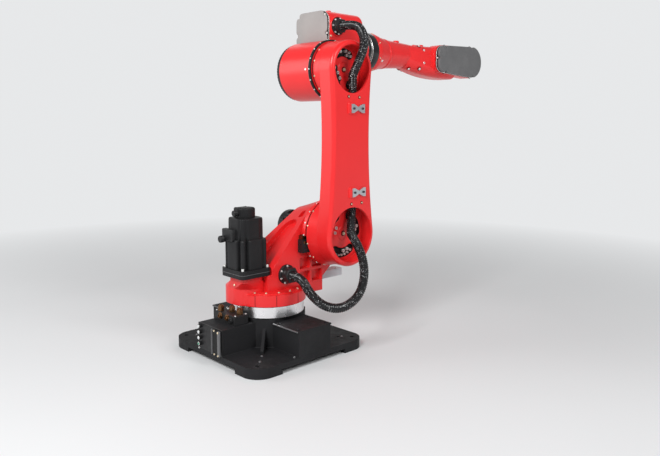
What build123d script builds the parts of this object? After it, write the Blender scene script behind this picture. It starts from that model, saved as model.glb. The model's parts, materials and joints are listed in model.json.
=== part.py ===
from build123d import *
import math
import os

os.makedirs("parts", exist_ok=True)

# Six-axis industrial robot arm, millimetres.
# The origin is on the waist axis at the floor, +X is the way the forearm points, +Z is up.

# Running and seating clearances
SEAT = 0.3
RUN_GAP = 3.0

# Base: a square plate on four corner feet, with box beams in a cross and a ribbed column
PLATE_HALF = 320.0
PLATE_THICK = 25.0
PLATE_CORNER_R = 80.0
FOOT_HEIGHT = 20.0
FOOT_LENGTH = 140.0
BEAM_HALF = 90.0
BEAM_HEIGHT = 114.0
FAR_BEAM_DROP = 14.0
COLUMN_HALF = 150.0
COLUMN_CHAMFER = 66.0
COLUMN_LIP = 13.0
RIB_THICK = 14.0
RIB_REACH = 250.0
FOOT_BOLT_R = 9.0
FOOT_BOLT_SPACING = 544.0
DOWEL_R = 6.0
DOWEL_STEP = 46.0
COVER_THICK = 6.0
COVER_OVERHANG = 5.0
PANEL_THICK = 8.0
SLOT_WIDTH = 34.0
SLOT_DEPTH = 5.0
SOCKET_R = 9.0
SOCKET_LENGTH = 12.0
SOCKET_COUNT = 4
SOCKET_PITCH = 26.0
BLOCK_GAP = 12.0
BLOCK_DEPTH = 70.0
BLOCK_HEIGHT = 38.0
FITTING_R = 15.0
FITTING_HEIGHT = 20.0
FITTING_SPOTS = [(-226, 52), (-200, 4), (-200, -52)]

# Slewing ring and turret disc on the waist axis
RING_R = 162.0
RING_HEIGHT = 55.0
RING_BORE_R = 110.0
DISC_R = 171.0
DISC_HEIGHT = 56.0
LEDGE_WIDTH = 14.0
LEDGE_DROP = 6.0

# Shoulder and elbow axes, seen from the side
SHOULDER_X = 262.0
SHOULDER_Z = 523.0
UPPER_ARM = 740.0

# Turret casting: a wedge that carries the shoulder drum
WEDGE_NEAR = 105.0
WEDGE_FAR = 60.0
WEDGE_FOOT_Z = 350.0
WEDGE_FRONT_X = 240.0
WEDGE_FRONT_LOW = 242.0
WEDGE_FRONT_HIGH = 308.0
WEDGE_FRONT_SLOPE_X = 272.0
WEDGE_FRONT_SLOPE_Z = 334.0
WEDGE_SLOPE = 49.0
WEDGE_TOE = 14.0
WEDGE_TOE_RISE = 30.0
FAR_SLOPE = 32.0
FAR_FOOT_X = -55.0
FAR_DRUM_R = 100.0
DRUM_R = 149.0
DRUM_FLANGE_R = 158.0
DRUM_FLANGE_THICK = 16.0
POCKET_DEPTH = 22.0
REAR_POCKET_WIDTH = 96.0
REAR_POCKET_LENGTH = 230.0
REAR_POCKET_START = 0.0
WINDOW_SIDE = 38.0
WINDOW_ALONG = 308.0
SIDE_POCKET_X = 168.0
SIDE_POCKET_Z = 354.0
SIDE_POCKET_PITCH_X = 74.0
SIDE_POCKET_PITCH_Z = 66.0
SIDE_POCKET_WEB = 13.0

# Waist motor, standing behind the wedge
MOTOR_X = -141.0
MOTOR_Y = -23.0
MOTOR_FLANGE_LOW = 360.0
MOTOR_FLANGE = 160.0
MOTOR_FLANGE_THICK = 36.0
MOTOR_LOWER = 150.0
MOTOR_LOWER_HEIGHT = 130.0
MOTOR_UPPER = 124.0
MOTOR_UPPER_HEIGHT = 92.0
MOTOR_CAP_HEIGHT = 42.0
MOTOR_CAP_R = 42.0
MOTOR_CAP_WIDE = 66.0
MOTOR_CORNER_R = 20.0
MOTOR_ROD_R = 18.0
PLUG_R = 16.0
PLUG_REACH = 26.0
PLUG_SHIFT = 44.0
PLUG_BLOCK_WIDE = 78.0
PLUG_BLOCK_HEIGHT = 54.0
PLUG_BLOCK_REACH = 8.0
PLUG_BLOCK_SHIFT = 24.0
CAP_PLUG_R = 14.0
CAP_PLUG_REACH = 26.0

# Boss of the turret under the waist motor, round at the foot and square under the flange
BOSS_X = -88.0
BOSS_Y = 28.0
BOSS_FOOT = 200.0
BOSS_FOOT_R = 85.0
BOSS_BEND_Z = 300.0
BOSS_NECK = 112.0
BOSS_NECK_LOW = 336.0

# Shoulder motor, on the far side of the turret
SHOULDER_MOTOR_HALF = 60.0
SHOULDER_CAP_R = 74.0
SHOULDER_CAP_Y = 171.0
SHOULDER_CAP_THICK = 40.0
SHOULDER_CAP_EDGE = 12.0

# Limit switch block beside the shoulder drum, and the rubber bumper in front of the wedge
LIMIT_LEFT_X = 90.0
LIMIT_WIDTH = 60.0
LIMIT_LOW_Z = 441.0
LIMIT_HEIGHT = 60.0
LIMIT_CAP_WIDTH = 50.0
LIMIT_CAP_HEIGHT = 18.0
BUMPER_REACH = 150.0
BUMPER_LOW_Z = 285.0
BUMPER_HEIGHT = 36.0
BUMPER_Y = -30.0
BUMPER_WIDTH = 52.0

# Upper arm: a hollow casting on the near side, open at both ends
ARM_FRONT_Y = -281.0
ARM_DEPTH = 79.0
ARM_LOWER_R = 145.0
ARM_UPPER_R = 128.0
ARM_WAIST = 114.0
WAIST_SHARE = 0.62
ARM_SIDE_ANGLE = 8.0
ARM_WALL = 13.0
ARM_EDGE_R = 16.0
HEAD_STEP = 2.0
SHOULDER_SEAM_Y = -147.0
ELBOW_SEAM_Y = -160.0
SHOULDER_OPENING_R = 125.0
ELBOW_OPENING_R = 106.0
SEAM_RING_THICK = 9.0
SEAM_GROOVE = 6.0
HUB_THICK = 34.0
HUB_BOSS_R = 32.0
HUB_BOSS_HEIGHT = 16.0
HUB_POCKET_DEPTH = 18.0
CLAMP_THICK = 9.0
CLAMP_HALF = 42.0
CLAMP_WIDE = 20.0
CLAMP_NECK = 7.0
CLAMP_WING = 15.0
CLAMP_HOLE_R = 3.5
LOWER_CLAMP_SHIFT = 36.0
LOWER_CLAMP_RISE = 192.0
UPPER_CLAMP_SHIFT = 28.0
UPPER_CLAMP_DROP = 173.0

# Elbow casting: a cross drum with the roll housing above it
ELBOW_DRUM_R = 136.0
ELBOW_DRUM_END_Y = 64.0
ELBOW_CAP_THICK = 27.0
ELBOW_CAP_STEP = 4.0
ELBOW_CAP_EDGE = 6.0
FOREARM_RISE = 117.0
HOUSING_REAR_X = 286.0
HOUSING_FRONT_X = 522.0
HOUSING_HALF = 107.0
HOUSING_TOP = 160.0
HOUSING_CORNER_R = 46.0
HOUSING_FRONT_R = 34.0
NECK_START_X = 420.0
NECK_R = 96.0
BAND_X = 560.0
BAND_R = 97.0
BAND_LENGTH = 76.0
REAR_COVER_THICK = 13.0
GASKET_THICK = 5.0
GASKET_STEP = 2.0
REAR_COVER_EDGE = 3.0

# Forearm: collar, tapered tube and a wrist arm on the near side
COLLAR_R = 96.0
COLLAR_LENGTH = 24.0
TUBE_ROOT_R = 75.0
TUBE_END_R = 60.0
TUBE_ROOT_X = 745.0
TUBE_END_X = 1000.0
WRIST_X = 1380.0
WRIST_ARM_OUT = 104.0
WRIST_ARM_IN = 45.0
WRIST_ARM_GROW = 3.0
WRIST_COVER_THICK = 22.0
WRIST_COVER_EDGE = 5.0
COVER_LEFT_X = 1076.0
COVER_LEFT_TOP = 60.0
COVER_LEFT_LOW = -78.0
COVER_LEFT_R = 46.0
COVER_RIGHT_X = 1468.0
COVER_RIGHT_TOP = 74.0
COVER_RIGHT_LOW = -106.0
COVER_RIGHT_R = 84.0
WRIST_R = 43.0
WRIST_HALF = 42.0
WRIST_BAR_STEP = 6.0
WRIST_REACH = 90.0
WRIST_SWEEP = 104.0
FLANGE_R = 31.5
FLANGE_THICK = 9.0
TOOL_BOLT_PCD = 50.0
TOOL_BOLT_R = 2.5
TOOL_PILOT_R = 15.75
TOOL_PILOT_DEPTH = 6.0

# Conduit
CONDUIT_R = 20.5
TURRET_GLAND_R = 44.0
TURRET_GLAND_LENGTH = 48.0
TURRET_GLAND_EDGE = 12.0
GLAND_X = 18.0
GLAND_Z = 352.0
ELBOW_GLAND_R = 40.0
ELBOW_GLAND_LENGTH = 34.0
ELBOW_GLAND_EDGE = 9.0
SHOULDER_SPLIT_Y = -264.0
ELBOW_SPLIT_Y = -264.0

PLATE_LOW = FOOT_HEIGHT
PLATE_TOP = PLATE_LOW + PLATE_THICK
BEAM_TOP = PLATE_TOP + BEAM_HEIGHT
COLUMN_TOP = BEAM_TOP + COLUMN_LIP
RING_TOP = COLUMN_TOP + RING_HEIGHT
DISC_LOW = RING_TOP + SEAT
DISC_TOP = DISC_LOW + DISC_HEIGHT
ELBOW_X = SHOULDER_X
ELBOW_Z = SHOULDER_Z + UPPER_ARM
FOREARM_Z = ELBOW_Z + FOREARM_RISE
ARM_BACK_Y = ARM_FRONT_Y + ARM_DEPTH
ELBOW_GLAND_X = HOUSING_REAR_X + ELBOW_GLAND_R + 9
ELBOW_GLAND_Z = FOREARM_Z + 90


def across(y):
    """Plane that looks along +Y: local x is +X, local y is +Z, and extrusion goes to -Y."""
    return Plane(origin=(0, y, 0), x_dir=(1, 0, 0), z_dir=(0, -1, 0))


def ahead(x):
    """Plane that faces +X: local x is +Y, local y is +Z, and extrusion goes to +X."""
    return Plane(origin=(x, 0, 0), x_dir=(0, 1, 0), z_dir=(1, 0, 0))


def save(block, name):
    """Label a finished piece and write it under its own name."""
    block.part.label = name
    export_step(block.part, "parts/" + name + ".step")


# Base plate with its bolt and dowel holes
with BuildPart() as base_plate:
    with BuildSketch(Plane.XY.offset(PLATE_LOW)):
        RectangleRounded(2 * PLATE_HALF, 2 * PLATE_HALF, PLATE_CORNER_R)
        with GridLocations(FOOT_BOLT_SPACING, FOOT_BOLT_SPACING, 2, 2):
            Circle(FOOT_BOLT_R, mode=Mode.SUBTRACT)
        for dowel_row in (1, 2):
            dowel_spacing = FOOT_BOLT_SPACING - dowel_row * 2 * DOWEL_STEP
            with GridLocations(dowel_spacing, dowel_spacing, 2, 2):
                Circle(DOWEL_R, mode=Mode.SUBTRACT)
    extrude(amount=PLATE_THICK)
save(base_plate, "base_plate")

# Corner feet under the plate
with BuildPart() as corner_feet:
    with BuildSketch(Plane.XY):
        RectangleRounded(2 * PLATE_HALF, 2 * PLATE_HALF, PLATE_CORNER_R)
        foot_gap = 2 * (PLATE_HALF - FOOT_LENGTH)
        Rectangle(foot_gap, 2 * PLATE_HALF, mode=Mode.SUBTRACT)
        Rectangle(2 * PLATE_HALF, foot_gap, mode=Mode.SUBTRACT)
        with GridLocations(FOOT_BOLT_SPACING, FOOT_BOLT_SPACING, 2, 2):
            Circle(FOOT_BOLT_R, mode=Mode.SUBTRACT)
        dowel_spacing = FOOT_BOLT_SPACING - 2 * DOWEL_STEP
        with GridLocations(dowel_spacing, dowel_spacing, 2, 2):
            Circle(DOWEL_R, mode=Mode.SUBTRACT)
    extrude(amount=FOOT_HEIGHT)
save(corner_feet, "corner_feet")


def column_outline():
    """Outline of the column: a square with its corners cut off."""
    with BuildSketch() as outline:
        Rectangle(2 * COLUMN_HALF, 2 * COLUMN_HALF)
        chamfer(outline.vertices(), COLUMN_CHAMFER)
    return outline.sketch


# Box beam that runs to the rear and carries the cable panel
with BuildPart() as cable_beam:
    with BuildSketch(Plane.XY.offset(PLATE_TOP)):
        beam_length = PLATE_HALF - PANEL_THICK
        with Locations((-beam_length / 2, 0)):
            Rectangle(beam_length, 2 * BEAM_HALF)
        add(column_outline(), mode=Mode.SUBTRACT)
    extrude(amount=BEAM_HEIGHT)
save(cable_beam, "cable_beam")

# Box beams to the two sides, the far one a little lower
with BuildPart() as side_beams:
    for side, drop in ((-1, 0), (1, FAR_BEAM_DROP)):
        with BuildSketch(Plane.XY.offset(PLATE_TOP)):
            with Locations((0, side * PLATE_HALF / 2)):
                Rectangle(2 * BEAM_HALF, PLATE_HALF)
            add(column_outline(), mode=Mode.SUBTRACT)
        extrude(amount=BEAM_HEIGHT - COVER_THICK - drop)
save(side_beams, "side_beams")

# Lids of the side beams, proud of the beam all round
with BuildPart() as beam_lids:
    for side, drop in ((-1, 0), (1, FAR_BEAM_DROP)):
        with BuildSketch(Plane.XY.offset(BEAM_TOP - COVER_THICK - drop)):
            with Locations((0, side * PLATE_HALF / 2)):
                Rectangle(2 * (BEAM_HALF + COVER_OVERHANG), PLATE_HALF)
            add(column_outline(), mode=Mode.SUBTRACT)
        extrude(amount=COVER_THICK)
save(beam_lids, "beam_lids")

# Column under the slewing ring, with a tapered rib on each diagonal
COLUMN_FLAT = (2 * COLUMN_HALF - COLUMN_CHAMFER) / math.sqrt(2)
with BuildPart() as base_column:
    with BuildSketch(Plane.XY.offset(PLATE_TOP)):
        add(column_outline())
    extrude(amount=BEAM_HEIGHT + COLUMN_LIP)
    for quarter in range(4):
        rib_plane = Plane.XZ.rotated((0, 0, 45 + 90 * quarter))
        with BuildSketch(rib_plane):
            with BuildLine():
                Polyline(
                    (COLUMN_FLAT - RIB_THICK, PLATE_TOP),
                    (RIB_REACH, PLATE_TOP),
                    (RIB_REACH, PLATE_TOP + RIB_THICK),
                    (COLUMN_FLAT, BEAM_TOP - 2 * RIB_THICK),
                    (COLUMN_FLAT - RIB_THICK, BEAM_TOP - 2 * RIB_THICK),
                    close=True,
                )
            make_face()
        extrude(amount=RIB_THICK / 2, both=True)
save(base_column, "base_column")

# Rear cable panel with its upright slot
with BuildPart() as cable_panel:
    with BuildSketch(ahead(-PLATE_HALF)):
        with Locations((0, (PLATE_TOP + BEAM_TOP) / 2)):
            Rectangle(2 * BEAM_HALF, BEAM_HEIGHT)
    extrude(amount=PANEL_THICK - SEAT)
    with BuildSketch(ahead(-PLATE_HALF)):
        with Locations((-BEAM_HALF / 3, (PLATE_TOP + BEAM_TOP) / 2)):
            SlotOverall(BEAM_HEIGHT - SLOT_WIDTH, SLOT_WIDTH, rotation=90)
    extrude(amount=SLOT_DEPTH, mode=Mode.SUBTRACT)
save(cable_panel, "cable_panel")

# Round sockets and lamps on the panel
with BuildPart() as panel_sockets:
    for row in range(SOCKET_COUNT):
        socket_z = BEAM_TOP - SOCKET_PITCH / 2 - row * SOCKET_PITCH
        with BuildSketch(ahead(-PLATE_HALF - SOCKET_LENGTH)):
            with Locations((BEAM_HALF - 2 * SOCKET_R, socket_z)):
                Circle(SOCKET_R)
        extrude(amount=SOCKET_LENGTH)
save(panel_sockets, "panel_sockets")

# Terminal block behind the ring, with air and cable fittings
BLOCK_FRONT_X = -RING_R - BLOCK_GAP
BLOCK_REAR_X = BLOCK_FRONT_X - BLOCK_DEPTH
with BuildPart() as terminal_block:
    with BuildSketch(Plane.XY.offset(BEAM_TOP)):
        with Locations(((BLOCK_FRONT_X + BLOCK_REAR_X) / 2, 0)):
            Rectangle(BLOCK_DEPTH, 2 * (BEAM_HALF - BLOCK_GAP))
    extrude(amount=BLOCK_HEIGHT)
save(terminal_block, "terminal_block")

with BuildPart() as brass_fittings:
    with BuildSketch(Plane.XY.offset(BEAM_TOP + BLOCK_HEIGHT)):
        with Locations(*FITTING_SPOTS):
            RegularPolygon(FITTING_R, 6)
    extrude(amount=FITTING_HEIGHT)
save(brass_fittings, "brass_fittings")

# Slewing ring
with BuildPart() as slewing_ring:
    with BuildSketch(Plane.XY.offset(COLUMN_TOP)):
        Circle(RING_R)
        Circle(RING_BORE_R, mode=Mode.SUBTRACT)
    extrude(amount=RING_HEIGHT)
    chamfer(slewing_ring.edges().group_by(Axis.Z)[-1].sort_by(SortBy.RADIUS)[-1], 2)
save(slewing_ring, "slewing_ring")

# Turret casting: disc, motor boss, wedge and shoulder drum

def wedge_outline(y, slope, drum_radius, foot_x, foot_z):
    """Side profile of the wedge at y: a rear slope that runs onto the drum and a stepped front."""
    run = math.cos(math.radians(slope))
    rise = math.sin(math.radians(slope))
    with BuildSketch(across(y)) as outline:
        with BuildLine():
            top = ThreePointArc(
                (SHOULDER_X - drum_radius * rise, SHOULDER_Z + drum_radius * run),
                (SHOULDER_X + drum_radius * run, SHOULDER_Z + drum_radius * rise),
                (SHOULDER_X + drum_radius * rise, SHOULDER_Z - drum_radius * run),
            )
            Polyline(
                top @ 1,
                (WEDGE_FRONT_SLOPE_X, WEDGE_FRONT_SLOPE_Z),
                (WEDGE_FRONT_X, WEDGE_FRONT_HIGH),
                (WEDGE_FRONT_X, WEDGE_FRONT_LOW),
                (0, WEDGE_FRONT_LOW),
                (foot_x, WEDGE_FRONT_LOW),
                (foot_x, foot_z),
                top @ 0,
            )
        make_face()
    return outline.sketch


SLOPE_RUN = math.cos(math.radians(WEDGE_SLOPE))
SLOPE_RISE = math.sin(math.radians(WEDGE_SLOPE))
TANGENT_X = SHOULDER_X - DRUM_R * SLOPE_RISE
TANGENT_Z = SHOULDER_Z + DRUM_R * SLOPE_RUN
FOOT_X = TANGENT_X - (TANGENT_Z - WEDGE_FOOT_Z) * SLOPE_RUN / SLOPE_RISE
FAR_RUN = math.cos(math.radians(FAR_SLOPE))
FAR_RISE = math.sin(math.radians(FAR_SLOPE))
FAR_TANGENT_X = SHOULDER_X - FAR_DRUM_R * FAR_RISE
FAR_FOOT_Z = SHOULDER_Z + FAR_DRUM_R * FAR_RUN - (FAR_TANGENT_X - FAR_FOOT_X) * FAR_RISE / FAR_RUN
LIMIT_DEPTH = -SHOULDER_SEAM_Y - SEAM_RING_THICK - WEDGE_NEAR
with BuildPart() as turret_casting:
    loft(
        [
            wedge_outline(WEDGE_FAR, FAR_SLOPE, FAR_DRUM_R, FAR_FOOT_X, FAR_FOOT_Z).face(),
            wedge_outline(-WEDGE_NEAR, WEDGE_SLOPE, DRUM_R, FOOT_X, WEDGE_FOOT_Z).face(),
        ],
        ruled=True,
    )
    with BuildSketch(Plane.XY.offset(DISC_LOW)):
        Circle(DISC_R)
    extrude(amount=DISC_HEIGHT)
    with BuildSketch(Plane.XY.offset(DISC_TOP - LEDGE_DROP)):
        Circle(DISC_R)
        Circle(DISC_R - LEDGE_WIDTH, mode=Mode.SUBTRACT)
    extrude(amount=LEDGE_DROP, mode=Mode.SUBTRACT)
    with BuildSketch(across(0)):
        with Locations((SHOULDER_X, SHOULDER_Z)):
            Circle(FAR_DRUM_R)
    extrude(amount=-WEDGE_FAR)
    with BuildSketch(across(-WEDGE_NEAR)):
        with Locations((SHOULDER_X, SHOULDER_Z)):
            Circle(DRUM_R)
    extrude(amount=-SHOULDER_SEAM_Y - SEAM_RING_THICK - SEAM_GROOVE - WEDGE_NEAR)
    with BuildSketch(across(SHOULDER_SEAM_Y + SEAM_RING_THICK + DRUM_FLANGE_THICK)):
        with Locations((SHOULDER_X, SHOULDER_Z)):
            Circle(DRUM_FLANGE_R)
    extrude(amount=DRUM_FLANGE_THICK)
    slope_plane = Plane(
        origin=((FOOT_X + FAR_FOOT_X) / 2, (WEDGE_FAR - WEDGE_NEAR) / 2, (WEDGE_FOOT_Z + FAR_FOOT_Z) / 2),
        x_dir=(0, -1, 0),
        z_dir=(-SLOPE_RISE - FAR_RISE, 0, SLOPE_RUN + FAR_RUN),
    )
    with BuildSketch(slope_plane.offset(-POCKET_DEPTH)):
        with Locations((0, REAR_POCKET_START + REAR_POCKET_LENGTH / 2)):
            Rectangle(REAR_POCKET_WIDTH, REAR_POCKET_LENGTH)
        with Locations((0, REAR_POCKET_START + REAR_POCKET_LENGTH)):
            Circle(REAR_POCKET_WIDTH / 2)
    extrude(amount=3 * POCKET_DEPTH, mode=Mode.SUBTRACT)
    with BuildSketch(slope_plane.offset(-POCKET_DEPTH / 2)):
        with Locations((WINDOW_SIDE, WINDOW_ALONG)):
            RectangleRounded(WINDOW_SIDE, WINDOW_SIDE, WINDOW_SIDE / 6)
    extrude(amount=3 * POCKET_DEPTH, mode=Mode.SUBTRACT)
    with BuildSketch(across(-WEDGE_NEAR + POCKET_DEPTH)):
        with Locations((SIDE_POCKET_X, SIDE_POCKET_Z)):
            with GridLocations(SIDE_POCKET_PITCH_X, SIDE_POCKET_PITCH_Z, 2, 2):
                pocket_width = SIDE_POCKET_PITCH_X - SIDE_POCKET_WEB
                RectangleRounded(pocket_width, SIDE_POCKET_PITCH_Z - SIDE_POCKET_WEB, SIDE_POCKET_WEB / 2)
    extrude(amount=POCKET_DEPTH, mode=Mode.SUBTRACT)
    with BuildSketch(across(-WEDGE_NEAR)):
        limit_height = LIMIT_HEIGHT + LIMIT_CAP_HEIGHT
        with Locations((LIMIT_LEFT_X + LIMIT_WIDTH / 2, LIMIT_LOW_Z + limit_height / 2)):
            Rectangle(LIMIT_WIDTH + 2 * SEAT, limit_height + 2 * SEAT)
    extrude(amount=LIMIT_DEPTH, mode=Mode.SUBTRACT)
    with BuildSketch(Plane.XY.offset(MOTOR_FLANGE_LOW - SEAT)):
        with Locations((MOTOR_X, MOTOR_Y)):
            Rectangle(MOTOR_FLANGE + 2 * RUN_GAP, MOTOR_FLANGE + 2 * RUN_GAP)
    extrude(amount=MOTOR_FLANGE_THICK + MOTOR_LOWER_HEIGHT, mode=Mode.SUBTRACT)
    with BuildSketch(Plane.XY.offset(DISC_LOW)):
        with Locations((BOSS_X, BOSS_Y)):
            RectangleRounded(BOSS_FOOT, BOSS_FOOT, BOSS_FOOT_R)
    extrude(amount=BOSS_BEND_Z - DISC_LOW)
    with BuildSketch(Plane.XY.offset(BOSS_BEND_Z)):
        with Locations((BOSS_X, BOSS_Y)):
            RectangleRounded(BOSS_FOOT, BOSS_FOOT, BOSS_FOOT_R)
    with BuildSketch(Plane.XY.offset(BOSS_NECK_LOW)):
        with Locations((MOTOR_X, MOTOR_Y)):
            RectangleRounded(BOSS_NECK, BOSS_NECK, MOTOR_CORNER_R)
    loft()
    with BuildSketch(Plane.XY.offset(BOSS_NECK_LOW)):
        with Locations((MOTOR_X, MOTOR_Y)):
            RectangleRounded(BOSS_NECK, BOSS_NECK, MOTOR_CORNER_R)
    extrude(amount=MOTOR_FLANGE_LOW - SEAT - BOSS_NECK_LOW)
save(turret_casting, "turret_casting")

# Waist motor
with BuildPart() as waist_motor_flange:
    with BuildSketch(Plane.XY.offset(MOTOR_FLANGE_LOW)):
        with Locations((MOTOR_X, MOTOR_Y)):
            RectangleRounded(MOTOR_FLANGE, MOTOR_FLANGE, MOTOR_CORNER_R)
    extrude(amount=MOTOR_FLANGE_THICK)
save(waist_motor_flange, "waist_motor_flange")

with BuildPart() as waist_motor:
    lower_z = MOTOR_FLANGE_LOW + MOTOR_FLANGE_THICK
    with BuildSketch(Plane.XY.offset(lower_z)):
        with Locations((MOTOR_X, MOTOR_Y)):
            Rectangle(MOTOR_LOWER, MOTOR_LOWER)
            with GridLocations(MOTOR_LOWER, MOTOR_LOWER, 2, 2):
                Circle(MOTOR_ROD_R, mode=Mode.SUBTRACT)
    extrude(amount=MOTOR_LOWER_HEIGHT)
    with BuildSketch(Plane.XY.offset(lower_z + MOTOR_LOWER_HEIGHT)):
        with Locations((MOTOR_X, MOTOR_Y)):
            RectangleRounded(MOTOR_UPPER, MOTOR_UPPER, MOTOR_ROD_R)
    extrude(amount=MOTOR_UPPER_HEIGHT)
save(waist_motor, "waist_motor")

MOTOR_TOP = MOTOR_FLANGE_LOW + MOTOR_FLANGE_THICK + MOTOR_LOWER_HEIGHT + MOTOR_UPPER_HEIGHT
with BuildPart() as waist_motor_cap:
    with BuildSketch(Plane.XY.offset(MOTOR_TOP)):
        with Locations((MOTOR_X, MOTOR_Y)):
            Circle(MOTOR_CAP_R)
            with Locations((0, MOTOR_CAP_R / 2)):
                Rectangle(MOTOR_CAP_WIDE, MOTOR_CAP_R)
    extrude(amount=MOTOR_CAP_HEIGHT)
save(waist_motor_cap, "waist_motor_cap")

with BuildPart() as waist_motor_plugs:
    step_z = MOTOR_TOP - MOTOR_UPPER_HEIGHT
    block_x = MOTOR_X - MOTOR_LOWER / 2 - PLUG_BLOCK_REACH
    with BuildSketch(ahead(block_x)):
        with Locations((MOTOR_Y + PLUG_BLOCK_SHIFT, step_z + PLUG_BLOCK_HEIGHT / 3)):
            Rectangle(PLUG_BLOCK_WIDE, PLUG_BLOCK_HEIGHT)
    extrude(amount=MOTOR_X - MOTOR_UPPER / 2 - block_x)
    with BuildSketch(ahead(MOTOR_X - MOTOR_LOWER / 2)):
        with Locations((MOTOR_Y, step_z - MOTOR_LOWER_HEIGHT / 2)):
            Rectangle(MOTOR_LOWER, MOTOR_LOWER_HEIGHT)
    extrude(amount=MOTOR_LOWER, mode=Mode.SUBTRACT)
    with BuildSketch(ahead(block_x - PLUG_REACH)):
        with Locations((MOTOR_Y + PLUG_SHIFT, step_z)):
            Circle(PLUG_R)
    extrude(amount=PLUG_REACH)
    with BuildSketch(ahead(MOTOR_X - MOTOR_CAP_R - CAP_PLUG_REACH)):
        with Locations((MOTOR_Y, MOTOR_TOP + MOTOR_CAP_HEIGHT / 2)):
            Circle(CAP_PLUG_R)
    extrude(amount=CAP_PLUG_REACH)
    with BuildSketch(Plane.XY.offset(MOTOR_TOP)):
        with Locations((MOTOR_X, MOTOR_Y)):
            Circle(MOTOR_CAP_R)
    extrude(amount=MOTOR_CAP_HEIGHT, mode=Mode.SUBTRACT)
save(waist_motor_plugs, "waist_motor_plugs")

# Dark ring at the shoulder seam
with BuildPart() as shoulder_ring:
    with BuildSketch(across(SHOULDER_SEAM_Y + SEAM_RING_THICK)):
        with Locations((SHOULDER_X, SHOULDER_Z)):
            Circle(DRUM_FLANGE_R - SEAM_GROOVE)
    extrude(amount=SEAM_RING_THICK - SEAT)
save(shoulder_ring, "shoulder_ring")

# Shoulder motor on the far side
with BuildPart() as shoulder_motor:
    with BuildSketch(across(SHOULDER_CAP_Y - SHOULDER_CAP_THICK)):
        with Locations((SHOULDER_X, SHOULDER_Z)):
            RectangleRounded(2 * SHOULDER_MOTOR_HALF, 2 * SHOULDER_MOTOR_HALF, MOTOR_CORNER_R)
    extrude(amount=SHOULDER_CAP_Y - SHOULDER_CAP_THICK - WEDGE_FAR)
save(shoulder_motor, "shoulder_motor")

with BuildPart() as shoulder_motor_cap:
    with BuildSketch(across(SHOULDER_CAP_Y)):
        with Locations((SHOULDER_X, SHOULDER_Z)):
            Circle(SHOULDER_CAP_R)
    extrude(amount=SHOULDER_CAP_THICK)
    fillet(shoulder_motor_cap.edges().group_by(Axis.Y)[-1], SHOULDER_CAP_EDGE)
save(shoulder_motor_cap, "shoulder_motor_cap")

# Limit switch block with its connector cap
with BuildPart() as limit_block:
    with BuildSketch(across(-WEDGE_NEAR)):
        with Locations((LIMIT_LEFT_X + LIMIT_WIDTH / 2, LIMIT_LOW_Z + LIMIT_HEIGHT / 2)):
            Rectangle(LIMIT_WIDTH, LIMIT_HEIGHT)
    extrude(amount=LIMIT_DEPTH - SEAT)
save(limit_block, "limit_block")

with BuildPart() as limit_block_cap:
    with BuildSketch(across(-WEDGE_NEAR)):
        with Locations((LIMIT_LEFT_X + LIMIT_WIDTH / 2, LIMIT_LOW_Z + LIMIT_HEIGHT + LIMIT_CAP_HEIGHT / 2)):
            Rectangle(LIMIT_CAP_WIDTH, LIMIT_CAP_HEIGHT)
    extrude(amount=LIMIT_DEPTH - SEAM_RING_THICK)
save(limit_block_cap, "limit_block_cap")

# Bumper seated on the front of the wedge
with BuildPart() as bumper:
    with BuildSketch(across(BUMPER_Y)):
        bumper_top = BUMPER_LOW_Z + BUMPER_HEIGHT
        slope_share = (bumper_top - WEDGE_FRONT_HIGH) / (WEDGE_FRONT_SLOPE_Z - WEDGE_FRONT_HIGH)
        bumper_back = WEDGE_FRONT_X + slope_share * (WEDGE_FRONT_SLOPE_X - WEDGE_FRONT_X)
        with BuildLine():
            Polyline(
                (WEDGE_FRONT_X, BUMPER_LOW_Z),
                (WEDGE_FRONT_X + BUMPER_REACH, BUMPER_LOW_Z),
                (WEDGE_FRONT_X + BUMPER_REACH, bumper_top),
                (bumper_back, bumper_top),
                (WEDGE_FRONT_X, WEDGE_FRONT_HIGH),
                close=True,
            )
        make_face()
    extrude(amount=BUMPER_WIDTH)
save(bumper, "bumper")

# Upper arm casting

def arm_outline(y, inset):
    """Outline of the upper arm at y, inset by a wall: two round ends joined by waisted sides."""
    side = math.radians(ARM_SIDE_ANGLE)
    low_r = ARM_LOWER_R - inset
    high_r = ARM_UPPER_R - inset
    low_dx = low_r * math.cos(side)
    low_z = SHOULDER_Z + low_r * math.sin(side)
    high_dx = high_r * math.cos(side)
    high_z = ELBOW_Z - high_r * math.sin(side)
    waist = ARM_WAIST - inset
    waist_z = SHOULDER_Z + WAIST_SHARE * UPPER_ARM
    with BuildSketch(across(y)) as outline:
        with BuildLine():
            ThreePointArc(
                (SHOULDER_X + low_dx, low_z), (SHOULDER_X + waist, waist_z), (SHOULDER_X + high_dx, high_z)
            )
            ThreePointArc(
                (ELBOW_X + high_dx, high_z), (ELBOW_X, ELBOW_Z + high_r), (ELBOW_X - high_dx, high_z)
            )
            ThreePointArc(
                (ELBOW_X - high_dx, high_z), (SHOULDER_X - waist, waist_z), (SHOULDER_X - low_dx, low_z)
            )
            ThreePointArc(
                (SHOULDER_X - low_dx, low_z), (SHOULDER_X, SHOULDER_Z - low_r), (SHOULDER_X + low_dx, low_z)
            )
        make_face()
    return outline.sketch


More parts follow.
